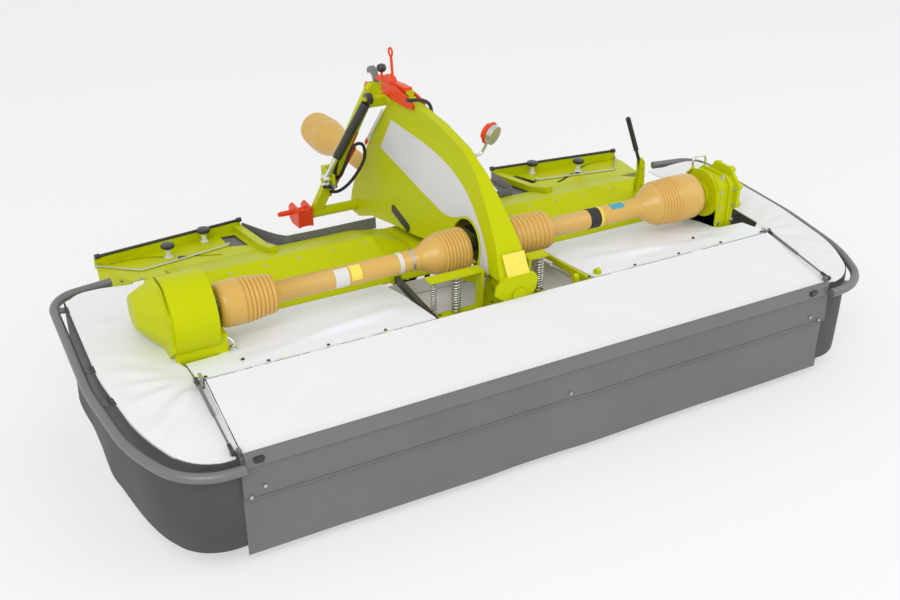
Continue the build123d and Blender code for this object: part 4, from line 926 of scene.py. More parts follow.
# rolls across the machine: one on the hinge's own axis closes the slit between the cover and the deck, and
# one is the hem along the cover's front edge
rollSettings = [
    {"name": "hingeSeam", "finish": "whiteTarp", "body": "deck", "slot": "tarp", "halfWidth": 1.352,
     "y": 0.402, "z": 0.5640, "radius": 0.0118, "bevel": 0.003},
    {"name": "coverRim", "finish": "skirtCloth", "body": "front_cover", "slot": "rubber", "halfWidth": 1.392,
     "y": -0.006, "z": 0.4845, "radius": 0.0125, "bevel": 0.004},
]


def makeRoll(s):
    bm = bmesh.new()
    addRod(bm, (-s["halfWidth"], s["y"], s["z"]), (s["halfWidth"], s["y"], s["z"]), s["radius"], 20)
    makePiece(s["name"], bm, s["finish"], s["body"], bevel=s["bevel"])


for roll in rollSettings:
    makeRoll(roll)
print("deck cloths ready")


# rows of bolts, rivets and studs: one node group that sets a head with its washer on each point of a line;
# radius, depth and level are shares of the bolt's size
boltShape = {"head": (1.0, 0.75, 0.62), "washer": (1.45, 0.28, 0.13), "washerSides": 20}


def makeBoltGroup(s):
    group, source = startGroup("boltRow", "GeometryNodeTree", [
        ("Count", "NodeSocketInt", 4),
        ("Start", "NodeSocketVector", (0, 0, 0)),
        ("Step", "NodeSocketVector", (0.1, 0, 0)),
        ("Facing", "NodeSocketVector", (0, 0, 1)),
        ("Size", "NodeSocketFloat", 0.008),
        ("Sides", "NodeSocketInt", 6),
        ("Seed", "NodeSocketInt", 4),
        ("Finish", "NodeSocketMaterial", None),
    ], [("Geometry", "NodeSocketGeometry")])
    line = addNode(group, "GeometryNodeMeshLine",
                   {"Count": source["Count"], "Start Location": source["Start"], "Offset": source["Step"]},
                   mode="OFFSET")
    joined = addNode(group, "GeometryNodeJoinGeometry")
    for sides, (radius, depth, level) in ((source["Sides"], s["head"]), (s["washerSides"], s["washer"])):
        disk = addNode(group, "GeometryNodeMeshCylinder",
                       {"Vertices": sides, "Radius": radius, "Depth": depth})
        place = addNode(group, "GeometryNodeTransform",
                        {"Geometry": disk.outputs["Mesh"], "Translation": (0, 0, level)})
        feed(group, joined, {"Geometry": place.outputs["Geometry"]})
    # each head stands along its facing, turned by chance
    align = addNode(group, "FunctionNodeAlignRotationToVector", {"Vector": source["Facing"]}, axis="Z")
    chance = addNode(group, "FunctionNodeRandomValue", {3: math.pi, "Seed": source["Seed"]},
                     data_type="FLOAT")
    turn = addNode(group, "FunctionNodeAxisAngleToRotation", {"Axis": (0, 0, 1), "Angle": chance.outputs[1]})
    spun = addNode(group, "FunctionNodeRotateRotation",
                   {"Rotation": align.outputs["Rotation"], "Rotate By": turn.outputs["Rotation"]},
                   rotation_space="LOCAL")
    copies = addNode(group, "GeometryNodeInstanceOnPoints", {
        "Points": line.outputs["Mesh"],
        "Instance": joined.outputs["Geometry"],
        "Rotation": spun.outputs["Rotation"],
        "Scale": source["Size"],
    })
    real = addNode(group, "GeometryNodeRealizeInstances", {"Geometry": copies.outputs["Instances"]})
    paint = addNode(group, "GeometryNodeSetMaterial",
                    {"Geometry": real.outputs["Geometry"], "Material": source["Finish"]})
    addNode(group, "NodeGroupOutput", {"Geometry": paint.outputs["Geometry"]})
    return group


boltGroup = makeBoltGroup(boltShape)


def makeBolts(name, body, start, step, facing, count, size, finish="zincSteel", sides=6):
    mesh = bpy.data.meshes.new(name)
    piece = bpy.data.objects.new(name, mesh)
    scene.collection.objects.link(piece)
    modifier = piece.modifiers.new("row", "NODES")
    modifier.node_group = boltGroup
    values = {"Count": count, "Start": at(*start), "Step": Vector(step), "Facing": Vector(facing),
              "Size": size, "Sides": sides, "Seed": 4, "Finish": materials[finish]}
    for item in boltGroup.interface.items_tree:
        if item.item_type == "SOCKET" and item.in_out == "INPUT":
            modifier[item.identifier] = values[item.name]
    bakeModifiers(piece)
    hangOn(piece, body, ())


# drive shaft guards: cone, bellows and tube turned as one shell, with bands, blank labels and shaft end.
# Shell lines are pairs of distance from the middle and radius; bellows give start, end, first radius, last
# radius, depth and number of ridges
guardSettings = {
    "axisY": 0.740,
    "axisZ": 0.690,
    "sides": 72,
    "left": [(0.0925, 0.052), (0.0925, 0.088), (0.098, 0.095), (0.106, 0.099)],
    "leftMiddle": [(0.236, 0.091), (0.262, 0.082), (0.286, 0.068), (0.300, 0.060), (0.312, 0.052),
                   (0.330, 0.0490), (0.336, 0.0495), (0.340, 0.0455), (0.975, 0.0455), (0.979, 0.056),
                   (0.984, 0.068), (0.988, 0.078)],
    "leftEnd": [(1.128, 0.0955), (1.134, 0.0970), (1.200, 0.0955), (1.214, 0.092), (1.224, 0.086),
                (1.226, 0.080), (1.226, 0.060), (1.220, 0.060)],
    "leftBellows": [(0.110, 0.224, 0.1005, 0.0965, 0.0075, 7), (0.992, 1.122, 0.082, 0.098, 0.008, 7)],
    "right": [(0.0925, 0.052), (0.0925, 0.084), (0.098, 0.091), (0.108, 0.095)],
    "rightMiddle": [(0.334, 0.084), (0.342, 0.068), (0.350, 0.0500), (0.356, 0.0500), (0.360, 0.0455),
                    (0.866, 0.0455), (0.876, 0.056), (0.892, 0.068), (0.910, 0.080), (0.928, 0.093),
                    (0.944, 0.101)],
    "rightEnd": [(1.060, 0.112), (1.068, 0.1135), (1.156, 0.1115), (1.176, 0.108), (1.192, 0.101),
                 (1.196, 0.092), (1.196, 0.068), (1.190, 0.068)],
    "rightBellows": [(0.114, 0.328, 0.0965, 0.0885, 0.008, 9), (0.952, 1.052, 0.1065, 0.1125, 0.008, 6)],
    # name, finish, slot, side, start, end, radius
    "bands": [
        ("clampBand.left", "zincSteel", "steel", -1, 0.352, 0.364, 0.0475),
        ("innerBand.left", "whitePlastic", "amber", -1, 0.404, 0.424, 0.0468),
        ("blackBand.right", "blackRubber", "rubber", 1, 0.566, 0.622, 0.0478),
        ("yellowBand.right", "yellowBand", "amber", 1, 0.623, 0.640, 0.0484),
    ],
    # name, finish, slot, side, start, end, lowest and highest angle in degrees
    "patches": [
        ("blankYellow.left", "yellowPlate", "amber", -1, 0.604, 0.652, -10, 80),
        ("blankWhite.left", "whitePlastic", "amber", -1, 0.662, 0.724, -40, 75),
        ("blankTeal.right", "tealBand", "amber", 1, 0.690, 0.764, 48, 100),
    ],
    "patchRadius": 0.0457,
    "patchThickness": 0.0008,
    "coreRadius": 0.0205,
    "cores": [("shaftCore.left", -1, 1.200, 1.2455), ("shaftCore.right", 1, 1.170, 1.2315)],
}


def bellows(start, end, firstRadius, lastRadius, depth, count):
    # rounded ridges with narrow valleys between them
    points = []
    steps = 7
    for ridge in range(count):
        for k in range(steps):
            share = (ridge + k / steps) / count
            base = firstRadius + (lastRadius - firstRadius) * share
            ridgeHeight = math.sin(math.pi * k / steps) ** 0.45
            points.append((start + (end - start) * share, base - depth + depth * ridgeHeight))
    points.append((end, lastRadius - depth))
    return points


def makeShell(name, body, profile, centre, axis, sides, replaced):
    bm = bmesh.new()
    addLathe(bm, profile, centre, axis, sides)
    piece = makePiece(name, bm, "amberPlastic", body, replaced=replaced)
    # only the mouths stay sharp, the ridges are smooth
    piece.data.set_sharp_from_angle(angle=math.radians(70))


def makeBand(name, finish, centre, axis, start, end, radius):
    inner = radius - 0.004
    bm = bmesh.new()
    addLathe(bm, [(start, inner), (start, radius), (end, radius), (end, inner)], centre, axis, 64)
    makePiece(name, bm, finish, "deck", bevel=0.0006)


def makeTubePatch(s, name, finish, slot, side, start, end, low, high):
    # a blank label wrapped part of the way round the tube, facing the front
    bm = bmesh.new()
    rings = []
    near = s["patchRadius"]
    far = near + s["patchThickness"]
    for angle in spread(low, high, 16):
        a = math.radians(angle)
        outwards = Vector((0, -math.cos(a), math.sin(a)))
        rings.append([at(side * x, s["axisY"], s["axisZ"]) + outwards * radius
                      for x, radius in ((start, near), (end, near), (end, far), (start, far))])
    addFaces(bm, rings)
    makePiece(name, bm, finish, "deck")


def makeCrossGuards(s):
    centre = (0, s["axisY"], s["axisZ"])
    for side, word in bothSides:
        first, second = s[word + "Bellows"]
        profile = s[word] + bellows(*first) + s[word + "Middle"] + bellows(*second) + s[word + "End"]
        makeShell("crossGuard." + word, "deck", profile, centre, (side, 0, 0), s["sides"],
                  ["cross_shaft_" + word])
    for name, finish, slot, side, start, end, radius in s["bands"]:
        makeBand(name, finish, centre, (side, 0, 0), start, end, radius)
    for patch in s["patches"]:
        makeTubePatch(s, *patch)
    for name, side, start, end in s["cores"]:
        bm = bmesh.new()
        addLathe(bm, [(start, s["coreRadius"]), (end, s["coreRadius"])], centre, (side, 0, 0), 32)
        makePiece(name, bm, "bareSteel", "deck", bevel=0.002)


makeCrossGuards(guardSettings)

inputSettings = {
    "axisZ": 0.640,
    "front": [(0.8765, 0.040), (0.878, 0.0440), (2.325, 0.0440), (2.338, 0.050), (2.360, 0.060),
              (2.400, 0.078), (2.440, 0.095), (2.475, 0.102), (2.510, 0.105)],
    "bellows": (2.520, 2.660, 0.106, 0.098, 0.006, 7),
    "mouth": [(2.668, 0.096), (2.678, 0.088), (2.680, 0.080), (2.680, 0.067), (2.560, 0.067), (2.445, 0.067),
              (2.395, 0.026), (0.880, 0.026)],
    "sides": 64,
}


def makeInputGuard(s):
    makeShell("inputGuard", "boom", s["front"] + bellows(*s["bellows"]) + s["mouth"], (0, 0, s["axisZ"]),
              (0, 1, 0), s["sides"], ["input_guard"])


makeInputGuard(inputSettings)
print("drive shaft guards ready")

# boom: silver stripes, opening's rim, blank plates; stripe lines are y and z along its side
boomShape = {"footHalf": 0.080, "topHalf": 0.022, "footZ": 0.633, "topZ": 1.060}
stripeSettings = {
    "outer": [(1.590, 1.020), (1.437, 1.016), (1.286, 1.013), (1.158, 1.006), (1.024, 0.990), (0.908, 0.962),
              (0.799, 0.917), (0.735, 0.874), (0.675, 0.826), (0.628, 0.782), (0.590, 0.737), (0.562, 0.690),
              (0.545, 0.642)],
    "inner": [(1.676, 0.853), (1.513, 0.831), (1.351, 0.808), (1.195, 0.786), (1.064, 0.769), (0.985, 0.760),
              (0.905, 0.770), (0.845, 0.793), (0.770, 0.8215), (0.700, 0.809), (0.650, 0.768), (0.626, 0.715),
              (0.624, 0.650)],
    "lift": 0.0006,
    "thickness": 0.0010,
    "rows": 8,
}


def boomSide(z):
    # half the boom's width at a height
    if z > boomShape["topZ"]:
        return boomShape["topHalf"]
    slope = (boomShape["footHalf"] - boomShape["topHalf"]) / (boomShape["topZ"] - boomShape["footZ"])
    return boomShape["footHalf"] - slope * (z - boomShape["footZ"])


def addPlateOnBoom(bm, outer, inner, side, lift, thickness, rows):
    levels = []
    for depth in (lift, lift + thickness):
        level = []
        for (y0, z0), (y1, z1) in zip(outer, inner):
            line = []
            for share in spread(0, 1, rows):
                y = y0 + (y1 - y0) * share
                z = z0 + (z1 - z0) * share
                line.append(bm.verts.new(at(side * (boomSide(z) + depth), y, z)))
            level.append(line)
        levels.append(level)
    low, high = levels
    for level in (low, high):
        for a, b in zip(level[:-1], level[1:]):
            for i in range(rows - 1):
                bm.faces.new((a[i], a[i + 1], b[i + 1], b[i]))
    for i in range(len(low) - 1):
        for end in (0, -1):
            bm.faces.new((low[i][end], low[i + 1][end], high[i + 1][end], high[i][end]))
    for k in range(rows - 1):
        for end in (0, -1):
            bm.faces.new((low[end][k], low[end][k + 1], high[end][k + 1], high[end][k]))


def makeStripes(s):
    outer = smoothPath([(0, y, z) for y, z in s["outer"]], 4)
    inner = smoothPath([(0, y, z) for y, z in s["inner"]], 4)
    for side, word in bothSides:
        bm = bmesh.new()
        addPlateOnBoom(bm, [(p.y, p.z) for p in outer], [(p.y, p.z) for p in inner], side, s["lift"],
                       s["thickness"], s["rows"])
        makePiece("stripe." + word, bm, "silverStripe", "boom")


makeStripes(stripeSettings)

rimOfOpening = {"y": 0.757, "z": 0.688, "radius": 0.1255, "tube": 0.0045, "lift": 0.0015, "steps": 72}


def makeOpeningRims(s):
    for side, word in bothSides:
        bm = bmesh.new()
        rings = []
        for i in range(s["steps"]):
            angle = 2 * math.pi * i / s["steps"]
            y = s["y"] + s["radius"] * math.cos(angle)
            z = s["z"] + s["radius"] * math.sin(angle)
            centre = at(side * (boomSide(z) + s["lift"]), y, z)
            outwards = Vector((0, math.cos(angle), math.sin(angle)))
            rings.append(ringAround(centre, outwards, Vector((side, 0, 0)), s["tube"], 12))
        addFaces(bm, rings + [rings[0]], capped=False)
        bmesh.ops.remove_doubles(bm, verts=bm.verts, dist=1e-6)
        makePiece("openingRim." + word, bm, "limePaint", "boom")


makeOpeningRims(rimOfOpening)

boomPlateSettings = {
    "yellow": {"x0": -0.044, "x1": 0.066, "line": [(0.4435, 0.6503), (0.470, 0.690), (0.500, 0.743)],
               "lift": 0.0088, "thickness": 0.0012},
    "capsule": {"start": (1.470, 0.602), "end": (1.300, 0.566), "half": 0.021, "lift": 0.0003,
                "thickness": 0.0015},
}


def makeBoomPlates(s):
    plate = s["yellow"]
    bm = bmesh.new()
    places = [Vector(pair) for pair in plate["line"]]
    rings = []
    for i, place in enumerate(places):
        run = places[min(i + 1, len(places) - 1)] - places[max(i - 1, 0)]
        outwards = Vector((-run.y, run.x)).normalized()
        near = place + outwards * plate["lift"]
        far = place + outwards * (plate["lift"] + plate["thickness"])
        rings.append([at(plate["x0"], near.x, near.y), at(plate["x1"], near.x, near.y),
                      at(plate["x1"], far.x, far.y), at(plate["x0"], far.x, far.y)])
    addFaces(bm, rings)
    makePiece("blankPlate", bm, "yellowPlate", "boom", bevel=0.0004)
    capsule = s["capsule"]
    start = Vector(capsule["start"])
    end = Vector(capsule["end"])
    along = (end - start).normalized()
    across = Vector((-along.y, along.x))
    outline = []
    for centre, first in ((end, -90), (start, 90)):
        for i in range(13):
            angle = math.radians(first + 15 * i)
            spot = centre + (along * math.cos(angle) + across * math.sin(angle)) * capsule["half"]
            outline.append((spot.x, spot.y))
    for side, word in bothSides:
        bm = bmesh.new()
        rings = [[at(side * (boomSide(z) + lift), y, z) for y, z in outline]
                 for lift in (capsule["lift"], capsule["lift"] + capsule["thickness"])]
        addFaces(bm, rings)
        makePiece("capsule." + word, bm, "blackPaint", "boom", bevel=0.0005)


makeBoomPlates(boomPlateSettings)
print("boom's plates ready")

# clamps of the swath boards: handle tube, bent rod, posts with knobs; a rise is a height above the plate
swathSettings = {
    "fall": 0.152,
    "hoodRearY": 1.500,
    "hoodRearZ": 0.522,
    "knobs": [(1.173, 1.680, 0.044, 0.033), (0.957, 1.820, 0.044, 0.033)],
    "knobLift": 0.006,
    "stud": (1.131, 1.620, 0.001, 0.015),
    "postRadius": 0.0125,
    "postFoot": 0.020,
    "postTip": 0.010,
    "handle": [(0.746, 1.912, 0.0505), (1.484, 1.777, 0.0505)],
    "handleRadius": 0.0072,
    "collarHalf": 0.012,
    "collarShare": 1.7,
    "rodLine": [(1.490, 1.762), (1.334, 1.552), (0.884, 1.662)],
    "rodRadius": 0.0045,
    "rodLift": 0.0005,
    "bendReach": 0.02,
    "nutHeight": 0.010,
    "nutRadius": 0.009,
    "flutes": 12,
}


def swathHeight(s, y):
    return s["hoodRearZ"] - s["fall"] * (y - s["hoodRearY"])


# a fluted hand wheel with a domed cap: pairs of height and radius as shares of the whole
knobShape = {
    "levels": [(0.0, 0.72), (0.12, 0.94), (0.25, 1.0), (0.72, 1.0), (0.88, 0.90), (0.97, 0.62), (1.0, 0.25)],
    "height": 0.72,
    "fluteDepth": 0.07,
    "pointsPerFlute": 6,
}


def addKnob(bm, x, y, base, radius, flutes):
    rings = []
    count = flutes * knobShape["pointsPerFlute"]
    for level, share in knobShape["levels"]:
        ring = []
        for i in range(count):
            angle = 2 * math.pi * i / count
            wave = 1 - knobShape["fluteDepth"] * (0.5 + 0.5 * math.cos(angle * flutes)) * min(1, share * 1.2)
            ring.append(at(x + radius * share * wave * math.cos(angle),
                           y + radius * share * wave * math.sin(angle),
                           base + radius * knobShape["height"] * level))
        rings.append(ring)
    addFaces(bm, rings)


def makeSwathClamps(s):
    for side, word in bothSides:
        bm = bmesh.new()
        places = [(side * x, y, swathHeight(s, y) + rise) for x, y, rise in s["handle"]]
        addRod(bm, places[0], places[1], s["handleRadius"], 20)
        run = (Vector(places[1]) - Vector(places[0])).normalized() * s["collarHalf"]
        for place in places:
            addRod(bm, Vector(place) - run, Vector(place) + run, s["handleRadius"] * s["collarShare"], 20)
        makePiece("swathHandle." + word, bm, "blackPaint", "deck", bevel=0.002,
                  replaced=["swath_clamps"])
        bm = bmesh.new()
        line = [Vector((side * x, y, swathHeight(s, y) + s["rodRadius"] + s["rodLift"]))
                for x, y in s["rodLine"]]
        first, bend, last = line
        before = bend + (first - bend).normalized() * s["bendReach"]
        after = bend + (last - bend).normalized() * s["bendReach"]
        addTube(bm, [first, before, bend.lerp(before.lerp(after, 0.5), 0.5), after, last], s["rodRadius"], 14)
        for x, y, z in (first, last):
            addRod(bm, (x, y, z - s["rodRadius"]), (x, y, z + s["nutHeight"]), s["nutRadius"], 20)
        makePiece("bentRod." + word, bm, "zincSteel", "deck", bevel=0.001, replaced=["swath_clamps"])
        posts = bmesh.new()
        knobs = bmesh.new()
        for x, y, rise, radius in s["knobs"]:
            z = swathHeight(s, y)
            addLathe(posts, [(0.0003, s["postFoot"]), (0.005, s["postFoot"]), (0.006, s["postRadius"]),
                             (rise, s["postRadius"]), (rise, s["postTip"]), (rise + 0.012, s["postTip"])],
                     (side * x, y, z), (0, 0, 1), 28)
            addKnob(knobs, side * x, y, z + rise + s["knobLift"], radius, s["flutes"])
        x, y, rise, radius = s["stud"]
        addKnob(knobs, side * x, y, swathHeight(s, y) + rise, radius, s["flutes"])
        makePiece("clampPosts." + word, posts, "whitePlastic", "deck", bevel=0.0008)
        makePiece("clampKnobs." + word, knobs, "blackPaint", "deck", bevel=0.0008)


makeSwathClamps(swathSettings)
print("swath clamps ready")

# coil springs, stays with their forks and cross tubes round the boom's foot
springSettings = {
    # x, y, radius of the coil, radius of the wire, turns
    "coils": [(-0.345, 0.550, 0.0115, 0.0030, 17), (-0.235, 0.550, 0.0175, 0.0040, 13),
              (0.185, 0.550, 0.0175, 0.0040, 13)],
    "low": 0.4945,
    "high": 0.6715,
    "crowding": 0.035,
    "rodRadius": 0.006,
    "collarRadius": 0.010,
    "collar": 0.006,
    "collarEnd": 0.007,
    "stepsPerTurn": 22,
    "stayFinish": {"left": "blackPaint", "right": "zincSteel"},
    "stayFront": (0.372, 0.464, 0.522),
    "stayRear": (0.336, 0.928, 0.512),
    "stayBar": (0.024, 0.030),
    # the right stay is a ram, in stretches
    "stayRam": [(0, 0.52, 0.008, 24), (0.52, 1, 0.0155, 32), (0.49, 0.53, 0.0175, 32)],
    # each fork: front, rear and height of its pin
    "forks": [(0.4303, 0.478, 0.524), (0.914, 0.9496, 0.516)],
    "forkLow": 0.486,
    "forkFloor": 0.496,
    "forkHigh": 0.538,
    "forkBridge": 0.014,
    "forkInner": 0.013,
    "forkOuter": 0.020,
    "pin": (0.026, 0.007),
    "tube": (0.482, 0.488, 0.018),
    "tubeStart": 0.1253,
    "tubeEnd": {"left": 0.212, "right": 0.180},
}


def addCoil(bm, s, x, y, radius, wire, turns):
    points = []
    count = turns * s["stepsPerTurn"]
    low = s["low"] + wire
    high = s["high"] - wire
    for k in range(count + 1):
        angle = 2 * math.pi * k / s["stepsPerTurn"]
        share = k / count
        # the end turns lie close together
        level = share + s["crowding"] * math.sin(2 * math.pi * share)
        points.append((x + radius * math.cos(angle), y + radius * math.sin(angle),
                       low + (high - low) * level))
    addTube(bm, points, wire, 10)


def makeSprings(s):
    for i, (x, y, radius, wire, turns) in enumerate(s["coils"], 1):
        bm = bmesh.new()
        addCoil(bm, s, x, y, radius, wire, turns)
        makePiece("coil.%d" % i, bm, "zincSteel", "deck", replaced=["support_springs"])
        bm = bmesh.new()
        low, high, wide = s["low"], s["high"], s["collarRadius"]
        addLathe(bm, [(low, wide), (low + s["collar"], wide), (low + s["collarEnd"], s["rodRadius"]),
                      (high - s["collarEnd"], s["rodRadius"]), (high - s["collar"], wide), (high, wide)],
                 (x, y, 0), (0, 0, 1), 24)
        makePiece("springRod.%d" % i, bm, "chromeRod", "deck", bevel=0.0008)
    for side, word in bothSides:
        front, rear = [Vector((side * s[end][0], s[end][1], s[end][2])) for end in ("stayFront", "stayRear")]
        bm = bmesh.new()
        if side < 0:
            addBar(bm, front, rear, *s["stayBar"])
        else:
            for stretch in s["stayRam"]:
                addStretch(bm, front, rear, stretch)
        makePiece("stay." + word, bm, s["stayFinish"][word], "deck", bevel=0.002,
                  replaced=["support_springs"])
        bm = bmesh.new()
        half, radius = s["pin"]
        for place, (y0, y1, pinZ) in zip((front, rear), s["forks"]):
            x, y = place.x, place.y
            addBlock(bm, x - s["forkOuter"], x - s["forkInner"], y0, y1, s["forkLow"], s["forkHigh"])
            addBlock(bm, x + s["forkInner"], x + s["forkOuter"], y0, y1, s["forkLow"], s["forkHigh"])
            addBlock(bm, x - s["forkBridge"], x + s["forkBridge"], y0, y1, s["forkLow"], s["forkFloor"])
            addRod(bm, (x - half, y, pinZ), (x + half, y, pinZ), radius, 20)
        makePiece("stayForks." + word, bm, "limePaint", "deck", bevel=0.0015)
        bm = bmesh.new()
        y, z, radius = s["tube"]
        addRod(bm, (side * s["tubeStart"], y, z), (side * s["tubeEnd"][word], y, z), radius, 32)
        makePiece("crossTube." + word, bm, "whitePlastic", "deck", bevel=0.002)


makeSprings(springSettings)
print("springs and stays ready")

# tractor linkage: hoses, couplers with their block, red bars and the white strip
linkageSettings = {
    "hoseRadius": 0.0085,
    # hoses by name and body; bars and the strip by start, end, width and depth
    "hoses": [
        ("hoseLoop.1", "headstock", [
            (-0.236, 1.818, 0.672), (-0.222, 1.790, 0.700), (-0.204, 1.765, 0.771), (-0.173, 1.760, 0.838),
            (-0.134, 1.762, 0.860), (-0.102, 1.768, 0.838), (-0.098, 1.772, 0.775), (-0.128, 1.778, 0.712),
            (-0.176, 1.800, 0.640), (-0.222, 1.836, 0.592), (-0.262, 1.866, 0.588), (-0.292, 1.890, 0.604)]),
        ("hoseLoop.2", "headstock", [
            (-0.262, 1.826, 0.640), (-0.268, 1.782, 0.690), (-0.248, 1.758, 0.800), (-0.205, 1.742, 0.905),
            (-0.168, 1.728, 0.990), (-0.130, 1.728, 1.045), (-0.086, 1.752, 1.078)]),
        ("hoseTop", "boom", [
            (-0.018, 1.430, 1.182), (-0.032, 1.395, 1.176), (-0.030, 1.350, 1.186), (0.006, 1.318, 1.190),
            (0.036, 1.300, 1.168), (0.040, 1.290, 1.120), (0.0265, 1.286, 1.080)]),
    ],
    "couplers": [(-0.305, 1.790, 0.672), (-0.286, 1.784, 0.716), (-0.262, 1.800, 0.650)],
    "couplerFacing": (-0.45, -0.55, 0.70),
    "couplerProfile": [(-0.030, 0.010), (-0.028, 0.014), (0.004, 0.014), (0.006, 0.018), (0.022, 0.018),
                       (0.026, 0.015), (0.032, 0.012)],
    "couplerBlock": [((-0.300, 1.795, 0.650), (-0.268, 1.842, 0.640), 0.050, 0.030),
                     ((-0.278, 1.800, 0.690), (-0.236, 1.852, 0.660), 0.030, 0.060)],
    "bars": [("liftBar.1", (-0.128, 1.818, 0.822), (-0.262, 1.872, 0.560), 0.016, 0.010),
             ("liftBar.2", (-0.112, 1.812, 0.905), (-0.158, 1.828, 0.800), 0.012, 0.008)],
    "barPin": (-0.030, 0.022, 0.006),
    "strip": ((-0.0385, 1.662, 1.050), (-0.0720, 1.780, 0.868), 0.018, 0.006),
    "stripEnd": -0.16,
    "stripEndWider": 0.002,
}


def makeLinkageDetails(s):
    for name, body, points in s["hoses"]:
        bm = bmesh.new()
        addTube(bm, smoothPath(points, 8), s["hoseRadius"], 14)
        makePiece(name, bm, "blackRubber", body)
    bm = bmesh.new()
    for place in s["couplers"]:
        addLathe(bm, s["couplerProfile"], place, s["couplerFacing"], 28)
    makePiece("couplers", bm, "bareSteel", "headstock", bevel=0.0008)
    bm = bmesh.new()
    for bar in s["couplerBlock"]:
        addBar(bm, *bar)
    makePiece("couplerBlock", bm, "blackPaint", "headstock", bevel=0.002)
    pinX, pinY, pinRadius = s["barPin"]
    for name, start, end, width, depth in s["bars"]:
        bm = bmesh.new()
        addBar(bm, start, end, width, depth, (0, 1, 0))
        for place in (start, end):
            addRod(bm, place, (place[0] + pinX, place[1] + pinY, place[2]), pinRadius, 16)
        makePiece(name, bm, "signalRed", "headstock", bevel=0.0015)
    start, end, width, depth = s["strip"]
    bm = bmesh.new()
    addBar(bm, start, end, width, depth, (1, 0, 0))
    makePiece("whiteStrip", bm, "whitePlastic", "boom", bevel=0.001)
    bm = bmesh.new()
    wider = s["stripEndWider"]
    addBar(bm, Vector(end), Vector(end).lerp(Vector(start), s["stripEnd"]), width + wider, depth + wider,
           (1, 0, 0))
    makePiece("stripEnd", bm, "signalRed", "boom", bevel=0.001)


makeLinkageDetails(linkageSettings)

catchSettings = {
    "cheek": [(1.345, 1.140), (1.338, 1.166), (1.400, 1.186), (1.470, 1.194), (1.540, 1.204), (1.620, 1.196),
              (1.690, 1.172), (1.690, 1.150), (1.623, 1.132), (1.544, 1.128), (1.447, 1.130)],
    "inner": 0.0235,
    "outer": 0.0345,
    # cross bolts: y, z, how far they stand out, radius
    "bolts": [(1.600, 1.150, 0.010, 0.012), (1.664, 1.128, 0.006, 0.008)],
    "knob": (0.0, 1.745, 1.236),
    "knobProfile": [(-0.020, 0.010), (-0.016, 0.019), (-0.006, 0.0245), (0.006, 0.0245), (0.016, 0.019),
                    (0.020, 0.010)],
}


def makeCatch(s):
    bm = bmesh.new()
    for side in (-1, 1):
        low, high = sorted((side * s["inner"], side * s["outer"]))
        addPrism(bm, s["cheek"], "x", low, high)
    for y, z, out, radius in s["bolts"]:
        addRod(bm, (-s["outer"] - out, y, z), (s["outer"] + out, y, z), radius, 24)
    makePiece("catchCheeks", bm, "signalRed", "boom", bevel=0.002)
    bm = bmesh.new()
    addLathe(bm, s["knobProfile"], s["knob"], (0, 0, 1), 32)
    makePiece("latchKnob", bm, "blackPaint", "boom", bevel=0.001)


makeCatch(catchSettings)
print("linkage details ready")

# gauge on its bent arm, and the hand lever with a rubber grip
gaugeSettings = {
    "centre": (0.206, 0.985, 1.084),
    "facing": (0.42, -0.86, -0.28),
    "radius": 0.046,
    "armRadius": 0.0075,
    "armFoot": [(0.0, 0.016), (0.006, 0.016), (0.008, 0.010), (0.020, 0.010)],
    "arm": [(0.0250, 1.080, 1.038), (0.050, 1.072, 1.016), (0.085, 1.055, 0.996), (0.130, 1.045, 0.986),
            (0.165, 1.040, 0.992), (0.182, 1.034, 1.020), (0.186, 1.026, 1.052)],
    "case": [(0.002, 0.78), (0.000, 0.90), (0.001, 1.0), (0.026, 1.0), (0.029, 0.94)],
    "back": [(0.028, 0.92), (0.030, 1.17), (0.036, 1.17), (0.040, 1.0), (0.054, 0.86), (0.060, 0.45)],
    "face": [(0.003, 0.05), (0.0028, 0.30), (0.0026, 0.80), (0.0034, 0.80)],
}


def makeGauge(s):
    bm = bmesh.new()
    addTube(bm, smoothPath(s["arm"], 8), s["armRadius"], 16)
    addLathe(bm, s["armFoot"], s["arm"][0], (1, 0, 0), 24)
    makePiece("gaugeArm", bm, "chromeRod", "boom", bevel=0.0006, replaced=["gauge"])
    front = Vector(s["facing"]).normalized()
    # the gauge's face borrows the dark grey of the side skirts' painted-shade cloth
    for name, finish, slot in (("case", "zincSteel", "steel"), ("back", "signalRed", "red"),
                               ("face", "sideClothInShade", "rubber")):
        bm = bmesh.new()
        addLathe(bm, [(along, share * s["radius"]) for along, share in s[name]], s["centre"], -front, 48)
        makePiece("gauge" + name.capitalize(), bm, finish, "boom", bevel=0.0006,
                  replaced=["gauge"] if name == "case" else ())


makeGauge(gaugeSettings)

leverSettings = {
    "foot": (1.134, 1.080, 0.735),
    "end": (1.030, 1.080, 1.008),
    "rod": 0.0085,
    "plate": [(1.108, 0.590), (1.152, 0.590), (1.156, 0.640), (1.150, 0.760), (1.128, 0.790), (1.116, 0.780),
              (1.120, 0.690), (1.106, 0.640)],
    "plateFronts": [1.064, 1.088],
    "plateThickness": 0.006,
    "base": (1.104, 1.156, 1.058, 1.102, 0.5885, 0.600),
    "bolts": [(1.136, 0.735), (1.142, 0.640)],
    "boltEnds": (1.058, 1.100),
    "boltRadius": 0.010,
    "grip": 0.0125,
    "gripStart": 0.34,
    "gripOver": 0.004,
    "gripRings": 12,
    "ringDepth": 0.0018,
}


